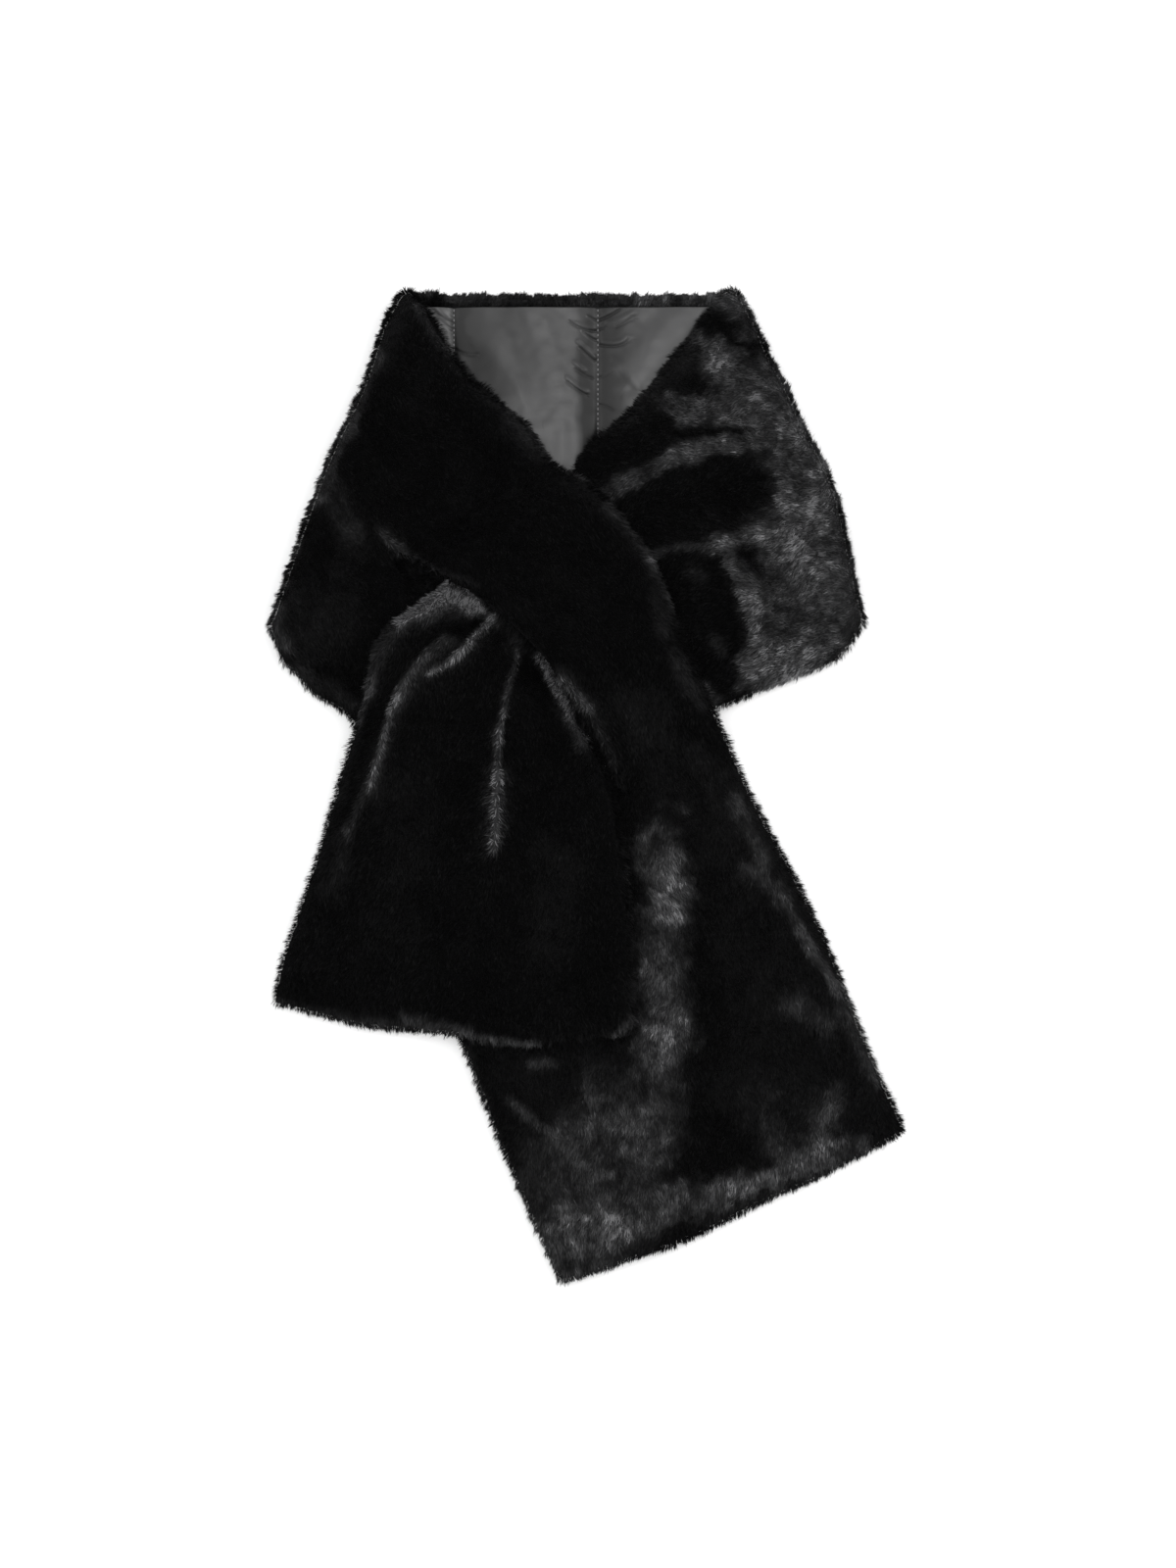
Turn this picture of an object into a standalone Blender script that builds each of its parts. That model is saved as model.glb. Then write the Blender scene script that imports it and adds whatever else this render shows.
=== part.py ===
"""Pull-through stole of plush fake fur with a quilted lining, laid flat and closed through its own slot.

Metres, +Z up. The stole lies on z = 0 with the back of its neck towards +Y and its two tails towards -Y.
The origin is the middle of the underside of its bounding box.

The band runs from the flared short tail, through the slot, over the wearer's left shoulder (+X), behind the
neck, over the other shoulder (-X) and down the long tail. Each stretch that shows is its own closed solid,
as thick as its lining, wadding, backing and pile together. It is lofted from sections across the band, and
it lies on whatever is already laid beneath it.
"""
import math
from collections import namedtuple

import bpy
import numpy as np
from mathutils import Matrix, Vector
from mathutils.bvhtree import BVHTree

# Sizes of the cut
BAND_WIDTH = 0.300          # neck edge to outer edge, laid flat
LAYER = 0.0125              # one layer of the band, pile included
BACK_LAYER = 0.0115         # the layer underneath, pressed by the rest
LINING_LAYER = 0.0014       # the quilted lining where it shows, along its stitched lines
GAP = 0.0003                # clearance between two layers that touch

# Edges
EDGE_ROUND = 0.011          # how far in from a long edge the pile rounds over
HEM_ROUND = 0.022           # the same at a hem, where the fur rolls under
HEM_ROWS = (0.62, 0.34, 0.15, 0.05)   # extra sections there, in rows before the last
EDGE_SHARE = 0.34           # thickness left at the very edge, as a share of the layer
EDGE_LIFT = 0.0018          # how far the edge's underside stands off what it lies on

# Shoulder folds
FOLD_INSIDE = 0.0010        # inner radius of the turned fold
FOLD_RINGS = (-90, -50, -10, 30, 62)   # degrees round the fold, underneath to on top

# How a layer drapes over the edges of the layers beneath
GRID = 0.004                # spacing of the height map
MAP_HALF_WIDTH = 0.320
MAP_HALF_LENGTH = 0.460
HOLD = 0.016                # a layer keeps its height this far past an edge beneath it
SLOPE = 0.55                # then it eases down at this rise over run
SOFTEN = 0.012              # and its slopes are rounded over this length

# The slot, counted in rows of LEFT_BAND
SLOT_START = 1.5
SLOT_END = 8.8
SLOT_V_START = 0.452        # place across the band, 0 at the outer edge and 1 at the neck edge
SLOT_V_END = 0.680
SLOT_FADE = 5               # rows before the hem over which the columns straighten again
SLOT_OPEN = 0.120           # widest opening, as a share of the band's width
SLOT_NARROW = 0.2           # share of its length over which its upper end is drawn shut
SLOT_TAPER = 1.2            # rows over which the outer part comes up to the bridge at each end
BRIDGE_ARCH = 0.0040        # how far the bridge's lip stands off what passes under it

# The fur rolled over the top edge of the back
STRIP_START = 0.951         # place across the band
STRIP_RISE = 0.0040
STRIP_ROUND = 0.0060
STRIP_ENDS = 0.08           # share of the back's length over which it flattens into each shoulder fold

# Places across the band at which a section has its points
COLUMNS = (0, 0.012, 0.034, 0.080, 0.150, 0.225, 0.300, 0.375, 0.450, 0.520,
           0.590, 0.660, 0.730, 0.800, 0.865, 0.925, 0.966, 0.988, 1)
SLOT_COLUMN = 9
BACK_COLUMNS = (0, 0.012, 0.034, 0.080, 0.200, 0.350, 0.500, 0.650, 0.800, 0.900, STRIP_START, 0.966, 0.988, 1)
BACK_ROWS = (0, 0.02, 0.08, 0.22, 0.36, 0.50, 0.64, 0.78, 0.92, 0.98, 1)

# One row for each section of a stretch: its middle, the direction from its outer end to its neck end in
# degrees, its length as a share of BAND_WIDTH, how far its middle runs ahead of its ends, and the
# thickness as a share of LAYER, which is more where the band is gathered.
Section = namedtuple("Section", "x y turn share bow loft")

LEFT_BAND = (
    Section(-0.1970, 0.2595, 69.4, 1.008, -0.003, 1.00),
    Section(-0.1750, 0.2230, 66.2, 1.042, 0.000, 1.00),
    Section(-0.1430, 0.1920, 61.4, 0.987, 0.000, 1.00),
    Section(-0.1140, 0.1640, 53.1, 0.933, 0.000, 1.00),
    Section(-0.0920, 0.1400, 47.9, 0.935, 0.000, 1.00),
    Section(-0.0735, 0.1125, 44.4, 0.966, 0.000, 1.00),
    Section(-0.0565, 0.0805, 42.0, 0.991, 0.000, 1.00),
    Section(-0.0415, 0.0395, 39.2, 0.976, 0.000, 1.00),
    Section(-0.0250, -0.0045, 37.1, 0.978, 0.000, 1.00),
    Section(-0.0090, -0.0460, 36.4, 0.995, 0.000, 1.00),
    Section(0.0098, -0.0925, 33.2, 0.994, 0.000, 1.04),
    Section(0.0325, -0.1430, 27.8, 1.014, 0.000, 1.08),
    Section(0.0520, -0.1878, 25.3, 1.032, 0.000, 1.10),
    Section(0.0723, -0.2390, 23.7, 1.044, 0.002, 1.12),
    Section(0.0941, -0.2893, 22.9, 1.043, 0.006, 1.12),
    Section(0.1185, -0.3455, 23.7, 1.028, 0.012, 1.12),
)
LEFT_FRONT_END = 10         # row of LEFT_BAND at which the long tail takes over
JOIN = 0.0035               # clearance there, in rows

RIGHT_BAND = (
    Section(0.1620, 0.2635, 111.1, 0.982, -0.018, 1.00),
    Section(0.1450, 0.2350, 113.2, 0.980, -0.005, 1.04),
    Section(0.1100, 0.2045, 117.1, 0.880, 0.000, 1.12),
    Section(0.0780, 0.1770, 120.2, 0.795, 0.000, 1.16),
    Section(0.0500, 0.1550, 121.9, 0.731, 0.000, 1.20),
    Section(0.0200, 0.1420, 126.9, 0.667, 0.000, 1.20),
    Section(-0.0120, 0.1280, 129.6, 0.606, 0.000, 1.20),
    Section(-0.0470, 0.1190, 132.9, 0.520, 0.000, 1.20),
)

SHORT_TAIL = (
    Section(-0.0474, 0.1186, 132.9, 0.520, 0.000, 1.15),
    Section(-0.0590, 0.1093, 133.5, 0.520, 0.000, 1.10),
    Section(-0.0658, 0.0824, 140.6, 0.638, 0.000, 1.20),
    Section(-0.0712, 0.0558, 144.2, 0.772, 0.000, 1.16),
    Section(-0.0742, 0.0320, 145.4, 0.818, 0.000, 1.10),
    Section(-0.0755, 0.0080, 148.0, 0.830, 0.002, 1.06),
    Section(-0.0785, -0.0170, 151.3, 0.847, 0.003, 1.04),
    Section(-0.0835, -0.0430, 154.9, 0.865, 0.005, 1.02),
    Section(-0.0880, -0.0730, 159.2, 0.884, 0.007, 1.00),
    Section(-0.0935, -0.1030, 164.2, 0.904, 0.009, 1.00),
    Section(-0.0995, -0.1320, 168.5, 0.935, 0.012, 1.00),
    Section(-0.1050, -0.1600, 172.5, 0.970, 0.016, 1.00),
    Section(-0.1085, -0.1915, 175.7, 1.001, 0.021, 1.00),
)

# One row for each large fold: the start, bend and end of its crest in plan, its rise (negative for a
# trough) and how far it reaches to the left and to the right of its crest, seen from start to end.
Fold = namedtuple("Fold", "start_x start_y bend_x bend_y end_x end_y rise left right")

LEFT_FOLDS = (
    Fold(-0.168, 0.206, -0.148, 0.194, -0.116, 0.170, 0.0040, 0.014, 0.007),
    Fold(-0.178, 0.192, -0.160, 0.178, -0.136, 0.160, -0.0035, 0.010, 0.012),
    Fold(-0.226, 0.165, -0.214, 0.235, -0.186, 0.300, 0.0028, 0.016, 0.026),
    Fold(-0.092, 0.310, -0.050, 0.275, -0.020, 0.232, 0.0022, 0.018, 0.024),
    Fold(0.012, 0.226, 0.046, 0.176, 0.066, 0.128, 0.0026, 0.012, 0.018),
    Fold(0.062, 0.108, 0.080, 0.082, 0.094, 0.058, 0.0032, 0.010, 0.013),
    Fold(0.036, 0.068, 0.056, 0.042, 0.066, 0.012, 0.0026, 0.012, 0.014),
    Fold(-0.214, 0.104, -0.196, 0.092, -0.176, 0.096, -0.0026, 0.014, 0.016),
)
TAIL_FOLDS = (
    Fold(0.064, -0.030, 0.070, -0.130, 0.062, -0.262, 0.0032, 0.024, 0.020),
    Fold(0.106, -0.060, 0.116, -0.170, 0.112, -0.300, -0.0030, 0.026, 0.030),
    Fold(0.134, -0.034, 0.168, -0.104, 0.206, -0.190, 0.0028, 0.011, 0.018),
    Fold(0.188, -0.206, 0.204, -0.240, 0.206, -0.274, -0.0024, 0.014, 0.018),
    Fold(-0.006, -0.362, 0.100, -0.322, 0.214, -0.282, 0.0026, 0.018, 0.013),
    Fold(-0.052, -0.258, -0.044, -0.276, -0.026, -0.286, 0.0022, 0.010, 0.014),
)
RIGHT_FOLDS = (
    Fold(-0.004, 0.226, 0.096, 0.268, 0.200, 0.284, 0.0065, 0.024, 0.017),
    Fold(0.010, 0.204, 0.090, 0.232, 0.150, 0.236, -0.0050, 0.016, 0.018),
    Fold(0.040, 0.180, 0.104, 0.203, 0.206, 0.208, 0.0050, 0.018, 0.008),
    Fold(0.068, 0.156, 0.092, 0.138, 0.096, 0.092, -0.0085, 0.026, 0.022),
    Fold(0.112, 0.192, 0.132, 0.146, 0.139, 0.088, 0.0050, 0.020, 0.008),
    Fold(0.176, 0.176, 0.190, 0.146, 0.184, 0.120, -0.0025, 0.016, 0.014),
    Fold(0.112, 0.336, 0.134, 0.310, 0.176, 0.306, 0.0028, 0.016, 0.014),
)
SHORT_FOLDS = (
    Fold(-0.148, 0.124, -0.122, 0.152, -0.086, 0.140, 0.0055, 0.014, 0.020),
    Fold(-0.078, 0.130, -0.160, 0.098, -0.196, -0.036, 0.0070, 0.034, 0.009),
    Fold(-0.150, 0.104, -0.180, 0.060, -0.200, -0.010, -0.0034, 0.009, 0.010),
    Fold(-0.056, 0.108, -0.073, 0.030, -0.079, -0.060, 0.0070, 0.020, 0.020),
    Fold(-0.108, 0.070, -0.118, -0.020, -0.128, -0.110, -0.0030, 0.026, 0.024),
    Fold(-0.036, 0.088, -0.018, 0.066, -0.004, 0.030, 0.0045, 0.010, 0.012),
    Fold(-0.036, 0.030, -0.038, -0.060, -0.044, -0.150, -0.0030, 0.022, 0.024),
    Fold(0.002, -0.010, 0.000, -0.080, 0.002, -0.160, 0.0022, 0.018, 0.020),
    Fold(-0.160, -0.060, -0.172, -0.120, -0.184, -0.186, 0.0026, 0.020, 0.024),
    Fold(-0.214, -0.110, -0.226, -0.140, -0.236, -0.176, -0.0020, 0.014, 0.016),
)

# The lining that shows between the two neck edges
LINING_TOP = 0.3866
LINING_FOOT = 0.2380
LINING_LEFT_TOP = -0.1440
LINING_RIGHT_TOP = 0.1080
LINING_LEFT_FOOT = -0.0330
LINING_RIGHT_FOOT = 0.0080
LINING_ROWS = 10
LINING_COLUMNS = 22
QUILT_LINE = 0.0080         # x of a stitched line
QUILT_PITCH = 0.1180        # distance to the next one
QUILT_PUFF = 0.0024         # rise of the wadding between two lines
LINING_PRESSED = 0.018      # width along both sides where the fronts press the wadding flat

ABOVE_ALL = 1.0             # height from which the height map is felt out
THROAT_END = 1.0            # row of SHORT_TAIL at the bridge's lip, past which its folds stand up
HIDDEN_PLACE = 5.0          # row of RIGHT_BAND from which it is flat under the bridge


def smooth_sections(table, places):
    """Read a table of sections at fractional rows, on a smooth curve through its rows."""
    rows = np.array(table, dtype=float)
    last = len(rows) - 1
    out = []
    for place in places:
        i = min(int(place), last - 1)
        f = place - i
        before = rows[max(i - 1, 0)]
        here = rows[i]
        there = rows[i + 1]
        after = rows[min(i + 2, last)]
        straight = 2 * here + (there - before) * f
        bent = (2 * before - 5 * here + 4 * there - after) * f ** 2
        bent += (3 * here - before - 3 * there + after) * f ** 3
        out.append(0.5 * (straight + bent))
    return np.array(out)


def places_between(first, last, hem=False):
    """Two sections for each row of a table, and closer ones where a hem rounds over."""
    places = list(np.arange(first, last, 0.5))
    if hem:
        places = places[:-1] + [last - back for back in HEM_ROWS]
    return np.array(places + [last])


def plan_grid(sections, columns, hand):
    """Points of every section in plan. hand is 1 where the band runs to the right of its sections."""
    grid = np.zeros((len(sections), columns.shape[1], 2))
    for i, (x, y, turn, share, bow, _) in enumerate(sections):
        across = np.array((math.cos(math.radians(turn)), math.sin(math.radians(turn))))
        ahead = hand * np.array((across[1], -across[0]))
        v = columns[i]
        grid[i] = (x, y)
        grid[i] += np.outer((v - 0.5) * share * BAND_WIDTH, across)
        grid[i] += np.outer(np.sin(math.pi * v) ** 1.5 * bow, ahead)
    return grid


def rounding(distance, reach):
    """0 at an edge, rising along a quarter ellipse to 1 at reach."""
    t = np.clip(distance / reach, 0, 1)
    return np.sqrt(1 - (1 - t) ** 2)


def ease(t):
    """0 to 1 with level ends."""
    t = np.clip(t, 0, 1)
    return t * t * (3 - 2 * t)


def fullness(columns, sections, first_is_edge=True, last_is_edge=True):
    """How full the band is at each point: 0 at its long edges and at the lips of the slot, 1 inside."""
    width = sections[:, 3][:, None] * BAND_WIDTH
    rows = np.ones(len(sections), dtype=bool)
    from_first = np.where((rows & first_is_edge)[:, None], (columns - columns[:, :1]) * width, BAND_WIDTH)
    from_last = np.where((rows & last_is_edge)[:, None], (columns[:, -1:] - columns) * width, BAND_WIDTH)
    return rounding(np.minimum(from_first, from_last), EDGE_ROUND)


def hem_fullness(plan):
    """The same for the hem at a stretch's last section."""
    return rounding(np.linalg.norm(plan[-1][None] - plan, axis=-1), HEM_ROUND)


def fold_relief(points, folds):
    """Rise of the upper surface at each point in plan, from a table of folds."""
    relief = np.zeros(points.shape[:-1])
    steps = np.linspace(0, 1, 25)[:, None]
    for fold in folds:
        start = np.array((fold.start_x, fold.start_y))
        bend = np.array((fold.bend_x, fold.bend_y))
        end = np.array((fold.end_x, fold.end_y))
        crest = (1 - steps) ** 2 * start + 2 * steps * (1 - steps) * bend + steps ** 2 * end
        heading = np.gradient(crest, axis=0)
        offset = points[..., None, :] - crest
        nearest = np.argmin((offset ** 2).sum(-1), axis=-1)
        offset = np.take_along_axis(offset, nearest[..., None, None], axis=-2)[..., 0, :]
        along = heading[nearest]
        side = along[..., 0] * offset[..., 1] - along[..., 1] * offset[..., 0]
        reach = np.where(side > 0, fold.left, fold.right)
        relief += fold.rise * np.exp(-(offset ** 2).sum(-1) / reach ** 2)
    return relief


class HeightMap:
    """Top of what is laid so far, on a square grid in plan."""

    def __init__(self, other=None):
        self.xs = np.arange(-MAP_HALF_WIDTH, MAP_HALF_WIDTH, GRID)
        self.ys = np.arange(-MAP_HALF_LENGTH, MAP_HALF_LENGTH, GRID)
        self.top = np.zeros((len(self.ys), len(self.xs))) if other is None else other.top.copy()
        self.draped = None

    def lay(self, surface):
        """Raise the map to the upper surface of a layer, given as a grid of points."""
        corners = surface.reshape(-1, 3)
        tree = BVHTree.FromPolygons([Vector(p) for p in corners], grid_triangles(surface.shape[:2]))
        low = corners.min(axis=0)
        high = corners.max(axis=0)
        for iy in np.flatnonzero((self.ys > low[1]) & (self.ys < high[1])):
            for ix in np.flatnonzero((self.xs > low[0]) & (self.xs < high[0])):
                above = Vector((self.xs[ix], self.ys[iy], ABOVE_ALL))
                hit = tree.ray_cast(above, Vector((0, 0, -1)))[0]
                if hit is not None:
                    self.top[iy, ix] = max(self.top[iy, ix], hit.z)
        self.draped = None

    def drape(self):
        """Height of the underside of the next layer, kept over every edge and eased down beyond it."""
        reach = int((HOLD + self.top.max() / SLOPE) / GRID) + 1
        padded = np.pad(self.top, reach)
        rows, columns = self.top.shape
        held = np.zeros_like(self.top)
        eased = np.zeros_like(self.top)
        for dy in range(-reach, reach + 1):
            for dx in range(-reach, reach + 1):
                distance = math.hypot(dx, dy) * GRID
                window = padded[reach + dy:reach + dy + rows, reach + dx:reach + dx + columns]
                if distance <= HOLD:
                    held = np.maximum(held, window)
                eased = np.maximum(eased, window - SLOPE * max(0, distance - HOLD))
        soft = blur(blur(eased, 0), 1)
        draped = np.maximum(held, soft)
        return np.where(draped > GAP, draped + GAP, 0)

    def under(self, plan):
        """Height of the next layer's underside at points in plan."""
        if self.draped is None:
            self.draped = self.drape()
        fx = (plan[..., 0] - self.xs[0]) / GRID
        fy = (plan[..., 1] - self.ys[0]) / GRID
        ix = fx.astype(int)
        iy = fy.astype(int)
        tx = fx - ix
        ty = fy - iy
        near = self.draped[iy, ix] * (1 - tx) + self.draped[iy, ix + 1] * tx
        far = self.draped[iy + 1, ix] * (1 - tx) + self.draped[iy + 1, ix + 1] * tx
        height = near * (1 - ty) + far * ty
        return np.where(height < 2 * GAP, 0, height)


def blur(heights, axis):
    """Soften a height map along one axis."""
    reach = int(2 * SOFTEN / GRID)
    weights = np.exp(-(np.arange(-reach, reach + 1) * GRID / SOFTEN) ** 2)
    weights /= weights.sum()
    return np.apply_along_axis(lambda line: np.convolve(line, weights, mode="same"), axis, heights)


def grid_triangles(shape):
    """Two triangles for each cell of a grid of points."""
    rows, columns = shape
    triangles = []
    for i in range(rows - 1):
        for j in range(columns - 1):
            a = i * columns + j
            triangles.append((a, a + 1, a + columns + 1))
            triangles.append((a, a + columns + 1, a + columns))
    return triangles


def signed_volume(points, faces):
    """Volume inside closed triangles, negative where they are inside out."""
    corners = np.array(points)[np.array(faces)]
    return np.einsum("ij,ij->i", corners[:, 0], np.cross(corners[:, 1], corners[:, 2])).sum() / 6


def closed_solid(name, panels, material, collection):
    """Join panels, each an upper and a lower grid of points, into one closed solid.

    Points that two panels share become one point, and an edge that only one panel has gets a side wall.
    """
    index = {}
    points = []

    def number(point):
        key = tuple(np.round(point, 6))
        if key not in index:
            index[key] = len(points)
            points.append(tuple(float(c) for c in point))
        return index[key]

    upper = []
    beneath = {}
    for over, under in panels:
        tops = [number(p) for p in over.reshape(-1, 3)]
        bottoms = [number(p) for p in under.reshape(-1, 3)]
        beneath.update(zip(tops, bottoms))
        for triangle in grid_triangles(over.shape[:2]):
            upper.append(tuple(tops[k] for k in triangle))
    faces = upper + [(beneath[c], beneath[b], beneath[a]) for a, b, c in upper]
    edges = [(a, b) for face in upper for a, b in zip(face, face[1:] + face[:1])]
    shared = set(edges)
    for a, b in edges:
        if (b, a) not in shared:
            faces.append((b, a, beneath[a]))
            faces.append((b, beneath[a], beneath[b]))

    mesh = bpy.data.meshes.new(name)
    mesh.from_pydata(points, [], faces)
    if signed_volume(points, faces) < 0:
        mesh.flip_normals()
    mesh.shade_smooth()
    mesh.set_sharp_from_angle(angle=math.radians(50))
    mesh.materials.append(material)
    piece = bpy.data.objects.new(name, mesh)
    collection.objects.link(piece)
    return piece


def surfaces(plan, full, sections, under, relief):
    """Upper and lower grids of a stretch whose underside lies at the heights in under."""
    thick = LAYER * sections[:, 5][:, None] * (EDGE_SHARE + (1 - EDGE_SHARE) * full)
    low = under + EDGE_LIFT * (1 - full)
    high = low + thick + relief * full
    return np.dstack((plan, high)), np.dstack((plan, low))


def round_the_shoulder(over, under, turn, hand):
    """Put the turned fold before the first section of a front, from its underside up to its top."""
    axis = under[0, :, :2]
    outward = -hand * np.array((math.sin(math.radians(turn)), -math.cos(math.radians(turn))))
    thick = over[0, :, 2] - under[0, :, 2]
    middle = LAYER + FOLD_INSIDE
    outside = []
    inside = []
    for degrees in FOLD_RINGS:
        reach = math.cos(math.radians(degrees))
        rise = math.sin(math.radians(degrees))
        for rings, radius in ((outside, FOLD_INSIDE + thick), (inside, FOLD_INSIDE + 0 * thick)):
            plan = axis + np.outer(reach * radius, outward)
            rings.append(np.column_stack((plan, middle + rise * radius)))
    under[0, :, 2] = middle + FOLD_INSIDE
    over[0, :, 2] = under[0, :, 2] + thick
    return np.vstack((np.array(outside), over)), np.vstack((np.array(inside), under))


def slot_columns(places):
    """Columns of the left band on either side of its slot: the outer part and the bridge."""
    columns = np.array(COLUMNS, dtype=float)
    middle = columns[SLOT_COLUMN]
    outer = []
    bridge = []
    for place in places:
        t = (place - SLOT_START) / (SLOT_END - SLOT_START)
        line = SLOT_V_START + (SLOT_V_END - SLOT_V_START) * np.clip(t, 0, 1)
        straightened = min(place / SLOT_START, 1) * min((len(LEFT_BAND) - 1 - place) / SLOT_FADE, 1)
        lip = middle + (line - middle) * ease(straightened)
        opening = 0
        if 0 < t < 1:
            opening = SLOT_OPEN * math.sqrt(math.sin(math.pi * t) * min(t / SLOT_NARROW, 1)) * (1 - t ** 4)
        outer.append(columns[:SLOT_COLUMN + 1] * (lip - opening) / middle)
        bridge.append(1 - (1 - columns[SLOT_COLUMN:]) * (1 - lip) / (1 - middle))
    return np.array(outer), np.array(bridge)


def plain_columns(places):
    """The same columns at every section."""
    return np.tile(np.array(COLUMNS, dtype=float), (len(places), 1))


def back_surfaces(left_axis, right_axis):
    """The stretch behind the neck, fur side down, between the two shoulder folds."""
    v = np.array(BACK_COLUMNS, dtype=float)
    left = np.column_stack([np.interp(v, COLUMNS, left_axis[:, k]) for k in (0, 1)])
    right = np.column_stack([np.interp(v, COLUMNS, right_axis[:, k]) for k in (0, 1)])
    span = np.linalg.norm(right - left, axis=1)[:, None]
    inset = 2 * GAP / span
    plan = np.array([left + (right - left) * (inset + (1 - 2 * inset) * share) for share in BACK_ROWS])
    full = np.tile(rounding(np.minimum(v, 1 - v) * BAND_WIDTH, EDGE_ROUND), (len(BACK_ROWS), 1))
    low = EDGE_LIFT * (1 - full)
    rows = np.array(BACK_ROWS)[:, None]
    strip = STRIP_RISE * ease(np.minimum(rows, 1 - rows) / STRIP_ENDS)
    strip = strip * rounding((v - STRIP_START) * BAND_WIDTH, STRIP_ROUND)
    high = low + (BACK_LAYER + strip) * (EDGE_SHARE + (1 - EDGE_SHARE) * full)
    return np.dstack((plan, high)), np.dstack((plan, low))


def lining_surfaces():
    """The quilted lining where it shows, wide enough to run a little way under both neck edges."""
    down = np.linspace(0, 1, LINING_ROWS)[:, None]
    across = np.linspace(0, 1, LINING_COLUMNS)[None]
    left = LINING_LEFT_TOP + (LINING_LEFT_FOOT - LINING_LEFT_TOP) * down
    right = LINING_RIGHT_TOP + (LINING_RIGHT_FOOT - LINING_RIGHT_TOP) * down
    x = left + (right - left) * across
    y = LINING_TOP + (LINING_FOOT - LINING_TOP) * down + 0 * x
    low = np.full_like(x, BACK_LAYER + GAP)
    puff = np.sqrt(np.abs(np.sin(math.pi * (x - QUILT_LINE) / QUILT_PITCH)))
    free = ease(np.minimum(x - left, right - x) / LINING_PRESSED)
    high = low + LINING_LAYER + QUILT_PUFF * puff * free
    return np.dstack((x, y, high)), np.dstack((x, y, low))


def fabric(name, colour, roughness, sheen):
    """A plain material for one kind of cloth."""
    material = bpy.data.materials.new(name)
    material.use_nodes = True
    shader = material.node_tree.nodes["Principled BSDF"]
    shader.inputs["Base Color"].default_value = (*colour, 1)
    shader.inputs["Roughness"].default_value = roughness
    shader.inputs["Metallic"].default_value = 0
    shader.inputs["Sheen Weight"].default_value = sheen
    material.diffuse_color = (*colour, 1)
    return material


def centre_on_origin(pieces):
    """Move the stole so that the middle of its bounding box lies over the origin."""
    corners = np.array([vertex.co for piece in pieces for vertex in piece.data.vertices])
    middle = (corners.min(axis=0) + corners.max(axis=0)) / 2
    for piece in pieces:
        piece.data.transform(Matrix.Translation((-middle[0], -middle[1], 0)))


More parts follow.
